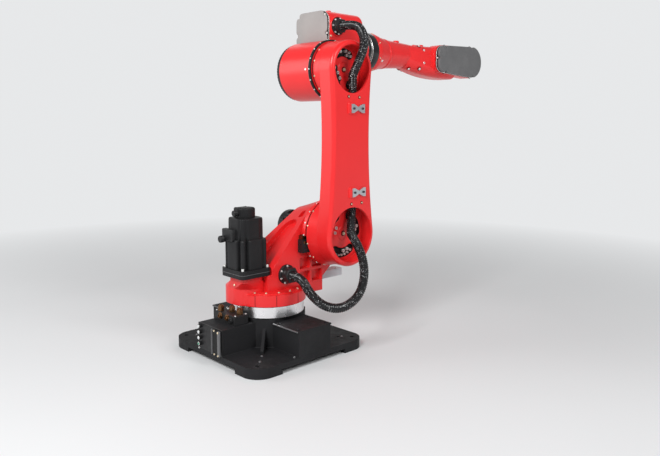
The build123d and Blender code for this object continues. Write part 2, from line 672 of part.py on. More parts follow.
with BuildPart() as upper_arm_casting:
    extrude(arm_outline(ARM_BACK_Y, 0), amount=ARM_DEPTH)
    fillet(upper_arm_casting.edges().group_by(Axis.Y)[0], ARM_EDGE_R)
    with BuildSketch(across(SHOULDER_SEAM_Y)):
        with Locations((SHOULDER_X, SHOULDER_Z)):
            Circle(DRUM_FLANGE_R)
    with BuildSketch(across(ARM_BACK_Y - ARM_WALL / 2)):
        with Locations((SHOULDER_X, SHOULDER_Z)):
            Circle(ARM_LOWER_R - HEAD_STEP)
    loft()
    with BuildSketch(across(ELBOW_SEAM_Y)):
        with Locations((ELBOW_X, ELBOW_Z)):
            Circle(ARM_UPPER_R - HEAD_STEP)
    extrude(amount=ELBOW_SEAM_Y - ARM_BACK_Y + ARM_WALL / 2)
    extrude(arm_outline(ARM_BACK_Y - ARM_WALL, ARM_WALL), amount=ARM_DEPTH - 2 * ARM_WALL, mode=Mode.SUBTRACT)
    with BuildSketch(across(SHOULDER_SEAM_Y - ARM_WALL)):
        with Locations((SHOULDER_X, SHOULDER_Z)):
            Circle(SHOULDER_OPENING_R)
    extrude(amount=SHOULDER_SEAM_Y - ARM_FRONT_Y, mode=Mode.SUBTRACT)
    with BuildSketch(across(ELBOW_SEAM_Y - ARM_WALL)):
        with Locations((ELBOW_X, ELBOW_Z)):
            Circle(ELBOW_OPENING_R)
    extrude(amount=ELBOW_SEAM_Y - ARM_FRONT_Y, mode=Mode.SUBTRACT)
save(upper_arm_casting, "upper_arm_casting")


def hub(centre_x, centre_z, seat_y, radius, first_pocket):
    """Bolted hub inside an end of the arm: a disc with three arc pockets and a centre boss."""
    with BuildPart() as piece:
        with BuildSketch(across(seat_y)):
            with Locations((centre_x, centre_z)):
                Circle(radius)
        extrude(amount=HUB_THICK)
        with BuildSketch(across(seat_y - HUB_THICK)):
            with Locations((centre_x, centre_z)):
                Circle(HUB_BOSS_R)
        extrude(amount=HUB_BOSS_HEIGHT)
        with BuildSketch(across(seat_y - HUB_THICK + HUB_POCKET_DEPTH)):
            for pocket in range(3):
                angle = first_pocket + 120 * pocket
                middle = CenterArc((centre_x, centre_z), 0.72 * radius, angle - 32, 64, mode=Mode.PRIVATE)
                SlotArc(middle, 0.34 * radius)
        extrude(amount=HUB_POCKET_DEPTH, mode=Mode.SUBTRACT)
    return piece


save(hub(SHOULDER_X, SHOULDER_Z, SHOULDER_SEAM_Y - ARM_WALL, SHOULDER_OPENING_R - SEAT, -90), "shoulder_hub")
save(hub(ELBOW_X, ELBOW_Z, ELBOW_SEAM_Y - ARM_WALL, ELBOW_OPENING_R - SEAT, 90), "elbow_hub")


def bow_tie(centre_x, centre_z):
    """Waisted clamp plate with two screw holes."""
    with BuildPart() as piece:
        with BuildSketch(across(ARM_FRONT_Y)):
            for side in (-1, 1):
                with BuildLine():
                    Polyline(
                        (centre_x, centre_z - CLAMP_NECK),
                        (centre_x + side * (CLAMP_HALF - CLAMP_WING), centre_z - CLAMP_WIDE),
                        (centre_x + side * CLAMP_HALF, centre_z - CLAMP_WIDE),
                        (centre_x + side * CLAMP_HALF, centre_z + CLAMP_WIDE),
                        (centre_x + side * (CLAMP_HALF - CLAMP_WING), centre_z + CLAMP_WIDE),
                        (centre_x, centre_z + CLAMP_NECK),
                        close=True,
                    )
                make_face()
                with Locations((centre_x + side * (CLAMP_HALF - CLAMP_WING), centre_z)):
                    Circle(CLAMP_HOLE_R, mode=Mode.SUBTRACT)
        extrude(amount=CLAMP_THICK)
    return piece


save(bow_tie(SHOULDER_X + LOWER_CLAMP_SHIFT, SHOULDER_Z + LOWER_CLAMP_RISE), "lower_clamp")
save(bow_tie(ELBOW_X + UPPER_CLAMP_SHIFT, ELBOW_Z - UPPER_CLAMP_DROP), "upper_clamp")

# Dark ring at the elbow seam
with BuildPart() as elbow_ring:
    with BuildSketch(across(ELBOW_SEAM_Y + SEAM_RING_THICK)):
        with Locations((ELBOW_X, ELBOW_Z)):
            Circle(ARM_UPPER_R - SEAM_GROOVE)
    extrude(amount=SEAM_RING_THICK - SEAT)
save(elbow_ring, "elbow_ring")

# Elbow casting
HOUSING_LOW_Z = ELBOW_Z + ELBOW_DRUM_R
with BuildPart() as elbow_casting:
    with BuildSketch(across(ELBOW_DRUM_END_Y)):
        with Locations((ELBOW_X, ELBOW_Z)):
            Circle(ELBOW_DRUM_R)
    extrude(amount=ELBOW_DRUM_END_Y - ELBOW_SEAM_Y - SEAM_RING_THICK)
    with BuildSketch(ahead(HOUSING_REAR_X)):
        with Locations(((ELBOW_DRUM_END_Y - HOUSING_HALF) / 2, (ELBOW_Z + HOUSING_LOW_Z) / 2)):
            Rectangle(ELBOW_DRUM_END_Y + HOUSING_HALF, HOUSING_LOW_Z - ELBOW_Z)
    extrude(amount=HOUSING_FRONT_X - HOUSING_REAR_X)
    with BuildSketch(ahead(HOUSING_REAR_X)):
        with Locations((0, (HOUSING_LOW_Z + FOREARM_Z + HOUSING_TOP) / 2)):
            Rectangle(2 * HOUSING_HALF, FOREARM_Z + HOUSING_TOP - HOUSING_LOW_Z)
    extrude(amount=HOUSING_FRONT_X - HOUSING_REAR_X)
    fillet(
        elbow_casting.edges().filter_by(Axis.X).group_by(Axis.Z)[-1],
        HOUSING_CORNER_R,
    )
    fillet(elbow_casting.faces().sort_by(Axis.X)[-1].edges().group_by(Axis.Z)[-1], HOUSING_FRONT_R)
    with BuildSketch(ahead(NECK_START_X)):
        with Locations((0, FOREARM_Z)):
            Circle(NECK_R)
    extrude(amount=BAND_X - NECK_START_X)
save(elbow_casting, "elbow_casting")

with BuildPart() as elbow_end_cap:
    with BuildSketch(across(ELBOW_DRUM_END_Y + ELBOW_CAP_THICK)):
        with Locations((ELBOW_X, ELBOW_Z)):
            Circle(ELBOW_DRUM_R - ELBOW_CAP_STEP)
    extrude(amount=ELBOW_CAP_THICK)
    fillet(elbow_end_cap.edges().group_by(Axis.Y)[-1], ELBOW_CAP_EDGE)
save(elbow_end_cap, "elbow_end_cap")

# Rear cover of the roll housing on its gasket
COVER_LOW_Z = HOUSING_LOW_Z + SEAT
with BuildPart() as rear_gasket:
    with BuildSketch(ahead(HOUSING_REAR_X - GASKET_THICK)):
        with Locations((0, (COVER_LOW_Z + FOREARM_Z + HOUSING_TOP) / 2)):
            gasket_height = FOREARM_Z + HOUSING_TOP - COVER_LOW_Z - 2 * GASKET_STEP
            Rectangle(2 * (HOUSING_HALF - GASKET_STEP), gasket_height)
    extrude(amount=GASKET_THICK)
    fillet(rear_gasket.edges().filter_by(Axis.X).group_by(Axis.Z)[-1], HOUSING_CORNER_R - GASKET_STEP)
save(rear_gasket, "rear_gasket")

with BuildPart() as rear_cover:
    with BuildSketch(ahead(HOUSING_REAR_X - GASKET_THICK - REAR_COVER_THICK)):
        with Locations((0, (COVER_LOW_Z + FOREARM_Z + HOUSING_TOP) / 2)):
            Rectangle(2 * HOUSING_HALF, FOREARM_Z + HOUSING_TOP - COVER_LOW_Z)
    extrude(amount=REAR_COVER_THICK)
    fillet(rear_cover.edges().filter_by(Axis.X).group_by(Axis.Z)[-1], HOUSING_CORNER_R)
    chamfer(rear_cover.faces().sort_by(Axis.X)[0].edges(), REAR_COVER_EDGE)
save(rear_cover, "rear_cover")

# Black ring of the roll joint
with BuildPart() as roll_band:
    with BuildSketch(ahead(BAND_X)):
        with Locations((0, FOREARM_Z)):
            Circle(BAND_R)
    extrude(amount=BAND_LENGTH - SEAT)
save(roll_band, "roll_band")

# Forearm casting: a turned tube that runs into a keel, with the wrist arm on the near side
COLLAR_X = BAND_X + BAND_LENGTH
WRIST_LEFT_X = WRIST_X - WRIST_SWEEP
KEEL_SECTIONS = [
    (TUBE_END_X - 100, -61, 61, -66, 60, 54),
    (TUBE_END_X + 56, -88, 72, -100, 57, 50),
    (WRIST_LEFT_X, -92, 66, -112, 66, 44),
]


def wrist_outline(y, grow):
    """Outline of the wrist arm and its cover at y, higher at the wrist end than at the tube end."""
    left = COVER_LEFT_X - grow
    right = COVER_RIGHT_X + grow
    with BuildSketch(across(y)) as outline:
        with BuildLine():
            Polyline(
                (left, FOREARM_Z + COVER_LEFT_LOW - grow),
                (right, FOREARM_Z + COVER_RIGHT_LOW - grow),
                (right, FOREARM_Z + COVER_RIGHT_TOP + grow),
                (left, FOREARM_Z + COVER_LEFT_TOP + grow),
                close=True,
            )
        make_face()
        fillet(outline.vertices().group_by(Axis.X)[0], COVER_LEFT_R + grow)
        fillet(outline.vertices().group_by(Axis.X)[-1], COVER_RIGHT_R + grow)
    return outline.sketch


with BuildPart() as forearm_casting:
    with BuildSketch(across(0)):
        with BuildLine():
            Polyline(
                (COLLAR_X, FOREARM_Z),
                (COLLAR_X, FOREARM_Z + COLLAR_R),
                (COLLAR_X + COLLAR_LENGTH, FOREARM_Z + COLLAR_R),
                (TUBE_ROOT_X, FOREARM_Z + TUBE_ROOT_R),
                (TUBE_END_X, FOREARM_Z + TUBE_END_R),
                (TUBE_END_X, FOREARM_Z),
                close=True,
            )
        make_face()
    revolve(axis=Axis((0, 0, FOREARM_Z), (1, 0, 0)))
    for section_x, near_y, far_y, low, high, corner in KEEL_SECTIONS:
        with BuildSketch(ahead(section_x)):
            with Locations(((near_y + far_y) / 2, FOREARM_Z + (low + high) / 2)):
                RectangleRounded(far_y - near_y, high - low, corner)
    loft()
    extrude(wrist_outline(-WRIST_ARM_IN, WRIST_ARM_GROW), amount=WRIST_ARM_OUT - WRIST_ARM_IN)
    with BuildSketch(across(WRIST_ARM_IN)):
        with Locations((WRIST_X, FOREARM_Z)):
            Circle(WRIST_SWEEP)
    extrude(amount=2 * WRIST_ARM_IN, mode=Mode.SUBTRACT)
save(forearm_casting, "forearm_casting")

# Side cover of the wrist arm on its gasket
with BuildPart() as wrist_gasket:
    extrude(wrist_outline(-WRIST_ARM_OUT, -GASKET_STEP), amount=GASKET_THICK)
save(wrist_gasket, "wrist_gasket")

with BuildPart() as wrist_cover:
    extrude(wrist_outline(-WRIST_ARM_OUT - GASKET_THICK, 0), amount=WRIST_COVER_THICK)
    fillet(wrist_cover.edges().group_by(Axis.Y)[0], WRIST_COVER_EDGE)
save(wrist_cover, "wrist_cover")

# Wrist housing, hanging at the inner side of the wrist arm, and the tool flange under it
with BuildPart() as wrist_housing:
    with BuildSketch(across(WRIST_HALF)):
        with Locations((WRIST_X, FOREARM_Z)):
            Circle(WRIST_R)
        with Locations((WRIST_X, FOREARM_Z - (WRIST_REACH - FLANGE_THICK) / 2)):
            Rectangle(2 * WRIST_R - WRIST_BAR_STEP, WRIST_REACH - FLANGE_THICK)
    extrude(amount=2 * WRIST_HALF)
    with BuildSketch(across(-WRIST_HALF)):
        with Locations((WRIST_X, FOREARM_Z)):
            Circle(WRIST_R - WRIST_BAR_STEP)
    extrude(amount=WRIST_ARM_IN - WRIST_HALF - SEAT)
save(wrist_housing, "wrist_housing")

with BuildPart() as tool_flange:
    with BuildSketch(Plane.XY.offset(FOREARM_Z - WRIST_REACH)):
        with Locations((WRIST_X, 0)):
            Circle(FLANGE_R)
    extrude(amount=FLANGE_THICK - SEAT)
    with BuildSketch(Plane.XY.offset(FOREARM_Z - WRIST_REACH)):
        with Locations((WRIST_X, 0)):
            Circle(TOOL_PILOT_R)
            with PolarLocations(TOOL_BOLT_PCD / 2, 4, start_angle=45):
                Circle(TOOL_BOLT_R)
    extrude(amount=TOOL_PILOT_DEPTH, mode=Mode.SUBTRACT)
save(tool_flange, "tool_flange")

# Glands and the cable conduit
with BuildPart() as turret_gland:
    with BuildSketch(across(-WEDGE_NEAR)):
        with Locations((GLAND_X, GLAND_Z)):
            Circle(TURRET_GLAND_R)
    extrude(amount=TURRET_GLAND_LENGTH)
    fillet(turret_gland.edges().group_by(Axis.Y)[0], TURRET_GLAND_EDGE)
save(turret_gland, "turret_gland")

with BuildPart() as elbow_gland:
    with BuildSketch(across(-HOUSING_HALF)):
        with Locations((ELBOW_GLAND_X, ELBOW_GLAND_Z)):
            Circle(ELBOW_GLAND_R)
    extrude(amount=ELBOW_GLAND_LENGTH)
    fillet(elbow_gland.edges().group_by(Axis.Y)[0], ELBOW_GLAND_EDGE)
save(elbow_gland, "elbow_gland")

ARM_MIDDLE_Z = (SHOULDER_Z + ELBOW_Z) / 2
LOWER_ROUTE = [
    (GLAND_X, -153, GLAND_Z),
    (GLAND_X, -214, GLAND_Z),
    (0, -282, 302),
    (20, -352, 252),
    (98, -385, 232),
    (186, -398, 272),
    (226, -396, 352),
    (240, -372, 428),
    (252, -320, 490),
    (268, -266, 528),
    (286, -244, 562),
]
ARM_ROUTE = [
    (252, -320, SHOULDER_Z - 33),
    (268, -266, SHOULDER_Z + 5),
    (290, -246, SHOULDER_Z + 51),
    (300, -241, SHOULDER_Z + 117),
    (304, -240, ARM_MIDDLE_Z - 133),
    (300, -242, ARM_MIDDLE_Z + 37),
    (304, -240, ELBOW_Z - 183),
    (300, -243, ELBOW_Z - 73),
    (286, -256, ELBOW_Z - 27),
    (283, -288, ELBOW_Z + 21),
    (290, -312, ELBOW_Z + 59),
]
UPPER_ROUTE = [
    (292, -240, ELBOW_Z - 53),
    (283, -262, ELBOW_Z - 13),
    (284, -296, ELBOW_Z + 33),
    (296, -318, ELBOW_Z + 93),
    (316, -296, ELBOW_Z + 151),
    (ELBOW_GLAND_X, -232, ELBOW_GLAND_Z),
    (ELBOW_GLAND_X, -141, ELBOW_GLAND_Z),
]


def conduit(points, name):
    """Sweep the conduit along straight runs joined by arcs as large as the runs allow."""
    runs = []
    for first, second in zip(points, points[1:]):
        runs.append(Vector(*second) - Vector(*first))
    radii = []
    for before, after in zip(runs, runs[1:]):
        half_turn = math.radians(before.get_angle(after)) / 2
        shorter = min(before.length, after.length)
        radii.append(0.45 * shorter / math.tan(half_turn))
    print(name, "radii", [round(radius) for radius in radii])
    with BuildPart() as piece:
        with BuildLine() as path:
            FilletPolyline(*points, radius=radii)
        route = path.wires()[0]
        with BuildSketch(Plane(origin=route @ 0, z_dir=route % 0)):
            Circle(CONDUIT_R)
        sweep(path=route)
    straight = math.pi * CONDUIT_R**2 * route.length
    print(name, "length", round(route.length), "volume share", round(piece.part.volume / straight, 4))
    return piece.part


with BuildPart() as lower_conduit:
    add(conduit(LOWER_ROUTE, "lower conduit"))
    with BuildSketch(across(0)):
        with Locations((SHOULDER_X + ARM_LOWER_R / 2, SHOULDER_Z + ARM_LOWER_R / 3)):
            Rectangle(2 * ARM_LOWER_R, 1.6 * ARM_LOWER_R)
    extrude(amount=-SHOULDER_SPLIT_Y, mode=Mode.SUBTRACT)
save(lower_conduit, "lower_conduit")

with BuildPart() as arm_conduit:
    add(conduit(ARM_ROUTE, "arm conduit"))
    with BuildSketch(across(SHOULDER_SPLIT_Y)):
        with Locations((SHOULDER_X, SHOULDER_Z + UPPER_ARM / 2)):
            Rectangle(2 * ARM_LOWER_R, UPPER_ARM + 2 * ARM_LOWER_R)
    extrude(amount=ARM_LOWER_R, mode=Mode.SUBTRACT)
save(arm_conduit, "arm_conduit")

with BuildPart() as upper_conduit:
    add(conduit(UPPER_ROUTE, "upper conduit"))
    with BuildSketch(across(0)):
        with Locations((ELBOW_X, ELBOW_Z)):
            Rectangle(2 * ARM_UPPER_R, ARM_UPPER_R)
    extrude(amount=-ELBOW_SPLIT_Y, mode=Mode.SUBTRACT)
save(upper_conduit, "upper_conduit")
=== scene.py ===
"""Looks of a six-axis industrial robot arm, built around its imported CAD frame. All sizes are in metres."""

from __future__ import annotations

import json
import logging
import math
from dataclasses import dataclass, field
from enum import Enum
from typing import Sequence

import bmesh
import bpy
import numpy as np
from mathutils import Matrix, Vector

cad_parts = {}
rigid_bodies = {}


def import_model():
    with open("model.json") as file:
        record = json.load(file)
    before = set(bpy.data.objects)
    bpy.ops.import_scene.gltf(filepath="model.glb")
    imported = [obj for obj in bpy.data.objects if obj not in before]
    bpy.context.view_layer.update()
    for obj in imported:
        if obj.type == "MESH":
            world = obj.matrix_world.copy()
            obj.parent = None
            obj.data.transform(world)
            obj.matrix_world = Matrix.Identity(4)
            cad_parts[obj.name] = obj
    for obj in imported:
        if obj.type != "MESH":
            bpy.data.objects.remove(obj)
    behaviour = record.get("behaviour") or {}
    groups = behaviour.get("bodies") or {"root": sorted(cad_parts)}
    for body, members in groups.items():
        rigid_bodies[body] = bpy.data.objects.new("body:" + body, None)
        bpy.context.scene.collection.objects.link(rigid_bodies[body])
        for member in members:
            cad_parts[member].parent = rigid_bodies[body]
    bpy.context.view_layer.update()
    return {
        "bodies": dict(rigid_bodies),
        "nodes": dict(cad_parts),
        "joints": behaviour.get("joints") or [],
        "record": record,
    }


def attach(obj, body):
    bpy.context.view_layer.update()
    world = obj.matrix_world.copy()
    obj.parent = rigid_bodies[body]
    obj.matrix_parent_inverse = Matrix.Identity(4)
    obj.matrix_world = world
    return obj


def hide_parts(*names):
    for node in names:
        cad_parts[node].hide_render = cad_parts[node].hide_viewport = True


LOG = logging.getLogger("robot_arm")
Grid = np.ndarray
Point = tuple[float, float, float]
Pair = tuple[float, float]
Profile = Sequence[Pair]
Spot = tuple[Sequence[float], Sequence[float]]
Colour = tuple[float, float, float]
Socket = bpy.types.NodeSocket

# Directions that faces look in: the near side is the one that the camera sees
NEAR: Point = (0, -1, 0)
FAR: Point = (0, 1, 0)
REAR: Point = (-1, 0, 0)
AHEAD: Point = (1, 0, 0)
UP: Point = (0, 0, 1)
SIDES = (-1, 1)

# Joint axes of the frame: x and z of the shoulder and the elbow, z of the roll axis
SHOULDER: Pair = (0.262, 0.523)
ELBOW: Pair = (0.262, 1.263)
ROLL_Z = 1.380

SHARP_ANGLE = 35.0


# Work planes and surfaces


@dataclass(frozen=True)
class WorkPlane:
    """A flat plane in the row frame, on which shapes are laid out.

    Args:
        origin: the plane's own zero point.
        u: unit direction of local x.
        v: unit direction of local y.
    """

    origin: Point
    u: Point
    v: Point

    @staticmethod
    def facing(origin: Sequence[float], normal: Sequence[float]) -> "WorkPlane":
        """Plane through a point that looks along a normal, with its local y as upright as it can be.

        Args:
            origin: the plane's own zero point.
            normal: the way it looks, of any length.

        Returns:
            The plane.
        """
        out = np.array(normal, float) / np.linalg.norm(normal)
        up = (0.0, 0.0, 1.0) if abs(out[2]) < 0.99 else (0.0, 1.0, 0.0)
        side = np.cross(up, out)
        side /= np.linalg.norm(side)
        return WorkPlane(tuple(origin), tuple(side), tuple(np.cross(out, side)))

    def place(self, local: Grid) -> Grid:
        """Turns local points (x, y, height) into row-frame points: origin + x u + y v + height n.

        Args:
            local: array whose last axis is (x, y, height).

        Returns:
            Array of the same shape in the row frame.
        """
        u, v = np.array(self.u, float), np.array(self.v, float)
        basis = np.stack([u, v, np.cross(u, v)])
        return local @ basis + np.array(self.origin, float)

    def outline(self, flat: Grid, height: float = 0.0) -> Grid:
        """Row-frame points of a flat outline of shape (columns, 2), at a height over the plane."""
        return self.place(np.column_stack([flat, np.full(len(flat), height)]))


def facing_spots(normal: Point, places: Sequence[Sequence[float]]) -> list[Spot]:
    """Spots that all look one way: each is a point and the common normal."""
    return [(place, normal) for place in places]


def ring_spots(centre: Point, axis: int, radius: float, angles: Sequence[float]) -> list[Spot]:
    """Spots on a flat face round an axis, all looking along it.

    Args:
        centre: centre of the ring.
        axis: 0 for X, 1 for -Y, 2 for Z; the way the spots look.
        radius: the ring's radius.
        angles: places on the ring in degrees, from +X (or +Y for axis 0) towards +Z (or +Y for axis 2).

    Returns:
        One spot for each angle.
    """
    first = (FAR, AHEAD, AHEAD)[axis]
    second = (UP, UP, FAR)[axis]
    turn = np.radians(angles)[:, None]
    points = np.array(centre) + radius * (np.cos(turn) * np.array(first) + np.sin(turn) * np.array(second))
    return facing_spots((AHEAD, NEAR, UP)[axis], list(points))


def wall_spots(centre: Point, axis: int, radius: float, angles: Sequence[float]) -> list[Spot]:
    """Spots on a round wall about an axis, each looking straight out of it; arguments as for ring_spots."""
    middle = np.array(centre)
    return [(point, point - middle) for point, _ in ring_spots(centre, axis, radius, angles)]


def copies(shape: Grid, spots: Sequence[Spot]) -> Grid:
    """Copies of a local shape, one on each spot: grids of shape (spots, rows, columns, 3)."""
    return np.stack([WorkPlane.facing(place, normal).place(shape) for place, normal in spots])


def all_round(columns: int) -> Grid:
    """Angles of evenly spaced points round a circle."""
    return np.linspace(0, 2 * math.pi, columns, endpoint=False)


def polar(radius: Grid | float, turn: Grid) -> Grid:
    """Flat points (r cos t, r sin t)."""
    return np.stack([radius * np.cos(turn), radius * np.sin(turn)], axis=-1)


def lifted(flat: Grid, heights: Grid) -> Grid:
    """Flat rows of shape (rows, columns, 2) with a height given to each row."""
    return np.concatenate([flat, np.broadcast_to(heights[:, None, None], (*flat.shape[:2], 1))], axis=-1)


def between(turn: Grid, degrees: Sequence[float]) -> Grid:
    """Angles from each of some directions to each point, brought between -pi and pi."""
    return (turn[:, None] - np.radians(degrees)[None] + math.pi) % (2 * math.pi) - math.pi


def turned(profile: Profile, columns: int = 48, hex_rows: Sequence[int] = ()) -> Grid:
    """Turned shape: row i, column j is (r cos t, r sin t, h), with r and h from the profile.

    Args:
        profile: (radius, height) pairs from the foot to the top.
        columns: points round the shape.
        hex_rows: rows whose radius follows a hexagon, r / cos(t mod 60 - 30) with r across the flats.

    Returns:
        Local grid of shape (rows, columns, 3).
    """
    rings = np.array(profile, float)
    angle = all_round(columns)
    radius = np.repeat(rings[:, :1], columns, axis=1)
    for row in hex_rows:
        radius[row] /= np.cos(angle % (math.pi / 3) - math.pi / 6)
    return lifted(polar(radius, angle), rings[:, 1])


def rounded_box(half_x: float, half_y: float, radius: float, steps: int = 9) -> Grid:
    """Closed outline of a box with round corners, anticlockwise from the +x +y corner.

    Args:
        half_x: half width.
        half_y: half height.
        radius: radius of its corners.
        steps: points in each corner.

    Returns:
        Outline of shape (4 steps, 2).
    """
    signs = np.array([(1, 1), (-1, 1), (-1, -1), (1, -1)], float)
    centres = signs * (np.array([half_x, half_y]) - radius)
    turn = np.linspace(0, math.pi / 2, steps)[None] + np.arange(4)[:, None] * math.pi / 2
    return (centres[:, None] + polar(1.0, turn) * radius).reshape(-1, 2)


def rounded_corners(corners: Profile, radii: Sequence[float], steps: int = 12) -> Grid:
    """Closed anticlockwise outline whose corners are arcs that touch both sides.

    An arc's centre lies on the corner's bisector, r / sin(half the corner) away. The arc turns 180 degrees
    less the corner.

    Args:
        corners: the sharp corners, anticlockwise.
        radii: one radius for each corner.
        steps: points in each corner.

    Returns:
        Outline of shape (corners x steps, 2).
    """
    points, radius = np.array(corners, float), np.array(radii, float)[:, None]
    before, after = np.roll(points, 1, axis=0) - points, np.roll(points, -1, axis=0) - points
    before /= np.linalg.norm(before, axis=1, keepdims=True)
    after /= np.linalg.norm(after, axis=1, keepdims=True)
    half = np.arccos(np.clip((before * after).sum(axis=1, keepdims=True), -1, 1)) / 2
    bisector = before + after
    bisector /= np.linalg.norm(bisector, axis=1, keepdims=True)
    centre = points + bisector * radius / np.sin(half)
    arm = points + before * radius / np.tan(half) - centre
    turn = np.arctan2(arm[:, 1:], arm[:, :1]) + (math.pi - 2 * half) * np.linspace(0, 1, steps)
    return (centre[:, None] + polar(radius, turn)).reshape(-1, 2)


def along_line(line: Grid, distances: Grid, run: Grid) -> Grid:
    """Points at given distances along a line whose own points lie at the distances of run."""
    return np.stack([np.interp(distances, run, line[:, axis]) for axis in range(line.shape[1])], axis=-1)


def run_of(line: Grid) -> Grid:
    """Distance of each point of a line from its start, along the line."""
    return np.concatenate([[0], np.cumsum(np.linalg.norm(np.diff(line, axis=0), axis=1))])


def even_outline(outline: Grid, count: int, shortest: float = 1e-9) -> Grid:
    """The same closed outline with evenly spaced points.

    Args:
        outline: closed outline of shape (columns, 2).
        count: how many points it gets.
        shortest: points nearer than this to the one before are left out.

    Returns:
        Outline of shape (count, 2).
    """
    closed = np.concatenate([outline, outline[:1]])
    run = run_of(closed)
    keep = np.concatenate([[True], np.diff(run) > shortest])
    return along_line(closed[keep], np.linspace(0, run[-1], count, endpoint=False), run[keep])


def inward(outline: Grid) -> Grid:
    """Unit directions that point into a closed anticlockwise outline: the way from each point's
    neighbour behind to the one ahead, turned a quarter to the left.

    Args:
        outline: shape (columns, 2).

    Returns:
        Directions of the same shape.
    """
    ahead = np.roll(outline, -1, axis=0) - np.roll(outline, 1, axis=0)
    normal = np.stack([-ahead[:, 1], ahead[:, 0]], axis=-1)
    return normal / np.linalg.norm(normal, axis=1, keepdims=True)


def notches_in(outline: Grid, notches: Profile, depth: float, width: float) -> Grid:
    """Shift that gives an outline round notches: inwards by depth exp(-(d / width)^2), d from the notch.

    Args:
        outline: closed anticlockwise outline of shape (columns, 2).
        notches: their places near the outline.
        depth: how far each goes in.
        width: half its width.

    Returns:
        Shift of each point, of the same shape.
    """
    away = np.linalg.norm(outline[:, None] - np.array(notches)[None], axis=-1)
    nearest = np.argmin(away, axis=0)
    along = np.linalg.norm(outline[:, None] - outline[nearest][None], axis=-1)
    return inward(outline) * (depth * np.exp(-((along / width) ** 2)).sum(axis=1))[:, None]


def lobed(half: Grid, depth: Grid, power: float, angles: Sequence[float], width: float,
          columns: int = 144) -> Grid:
    """Square section with grooves.

    r(t) = half (|cos t|^p + |sin t|^p)^(-1/p) - depth sum exp(-((t - t_k) / w)^2)

    Args:
        half: half width of each row.
        depth: groove depth of each row.
        power: the larger, the squarer.
        angles: groove places in degrees.
        width: groove half width in degrees.
        columns: points round the section.

    Returns:
        Flat sections of shape (rows, columns, 2).
    """
    turn = all_round(columns)
    square = (np.abs(np.cos(turn)) ** power + np.abs(np.sin(turn)) ** power) ** (-1 / power)
    groove = np.exp(-((between(turn, angles) / math.radians(width)) ** 2)).sum(axis=1)
    return polar(half[:, None] * square - depth[:, None] * groove, turn)


def rippled(radius: float, depth: float, ribs: int, columns: int) -> Grid:
    """Round outline with grip ribs: r(t) = radius + depth cos(ribs t)."""
    turn = all_round(columns)
    return polar(radius + depth * np.cos(ribs * turn), turn)


def arc_shade_sheet(radius: float, width: float, middle: float, sweep: float, profile: Profile,
              steps: int = 16) -> Grid:
    """Sheet in an arc slot, laid in a dark finish to paint the shade inside it: each row shrinks the slot's
    edge towards its middle arc.

    Point = m + s (e - m), where e runs round the edge, m is the point of the middle arc beside it, and s is
    the row's share.

    Args:
        radius: radius of the middle arc.
        width: width of the slot.
        middle: direction of its middle, in degrees.
        sweep: degrees between its two end centres.
        profile: (share, height) pairs.
        steps: points along each of its four parts.

    Returns:
        Local grid of shape (rows, 4 x steps, 3).
    """
    low, high = np.radians(middle - sweep / 2), np.radians(middle + sweep / 2)
    run, cap = np.linspace(low, high, steps), np.linspace(0, math.pi, steps)
    angle = np.concatenate([run, np.full(steps, high), run[::-1], np.full(steps, low)])
    lean = np.concatenate([run, high + cap, run[::-1] + math.pi, low + math.pi + cap])
    shares, levels = np.array(profile, float).T
    flat = polar(radius, angle)[None] + shares[:, None, None] * polar(width / 2, lean)[None]
    return lifted(flat, levels)


def capped(wall: Grid, line: Grid) -> Grid:
    """A tube's wall closed with a pole at each end of the line that it follows."""
    ends = [np.broadcast_to(point, (1, *wall.shape[1:])) for point in (line[0], line[-1])]
    return np.concatenate([ends[0], wall, ends[1]])


def bead(path: Grid, normal: Point, width: float, height: float, closed: bool = True,
         columns: int = 8) -> Grid:
    """Bead along a path in a plane: point (s, t) = path(s) + width cos t side(s) + height sin t normal.

    Args:
        path: points of shape (rows, 3).
        normal: direction that the plane looks in.
        width: half width of the bead.
        height: half height of the bead.
        closed: whether the path's end joins its start.
        columns: points round the bead.

    Returns:
        Grid of shape (rows + 1 or rows + 2, columns, 3).
    """
    tangent = np.roll(path, -1, axis=0) - np.roll(path, 1, axis=0) if closed else np.gradient(path, axis=0)
    tangent /= np.linalg.norm(tangent, axis=1, keepdims=True)
    side = np.cross(tangent, normal)
    turn = all_round(columns)[None, :, None]
    across, up = width * np.cos(turn), height * np.sin(turn)
    wall = path[:, None] + across * side[:, None] + up * np.array(normal, float)
    return np.concatenate([wall, wall[:1]]) if closed else capped(wall, path)


def moulded(outline: Grid, profile: Profile, close: bool = True, shift: Grid | float = 0.0) -> Grid:
    """Plate-like shape: each row is the outline moved inwards by an inset and lifted to a height.

    Args:
        outline: closed anticlockwise outline of shape (columns, 2).
        profile: (inset, height) pairs from the foot to the top.
        close: closes the flat top with a row a quarter of the way out from its middle line, and a point.
        shift: moves every row alike, as notches do.

    Returns:
        Local grid of shape (rows, columns, 3).
    """
    steps = np.array(profile, float)
    rows = lifted(outline[None] + shift + inward(outline)[None] * steps[:, :1, None], steps[:, 1])
    if not close:
        return rows
    low, high = outline.min(axis=0), outline.max(axis=0)
    middle, reach = (low + high) / 2, (high - low) / 2
    line = middle + np.clip(outline - middle, reach.min() - reach, reach - reach.min())
    last = np.stack([line + 0.25 * (outline - line), np.broadcast_to(middle, outline.shape)])
    return np.concatenate([rows, lifted(last, steps[[-1, -1], 1])])


def round_edge(width: float, height: float, steps: int = 5) -> list[Pair]:
    """Profile of an upright side with a round top edge.

    Args:
        width: radius of the edge.
        height: height of the top.
        steps: points along the quarter circle.

    Returns:
        (inset, height) pairs from the foot to the top.
    """
    turn = np.linspace(0, math.pi / 2, steps)
    inset = width * (1 - np.cos(turn))
    level = height - width * (1 - np.sin(turn))
    return [(0.0, 0.0), *zip(inset.tolist(), level.tolist())]


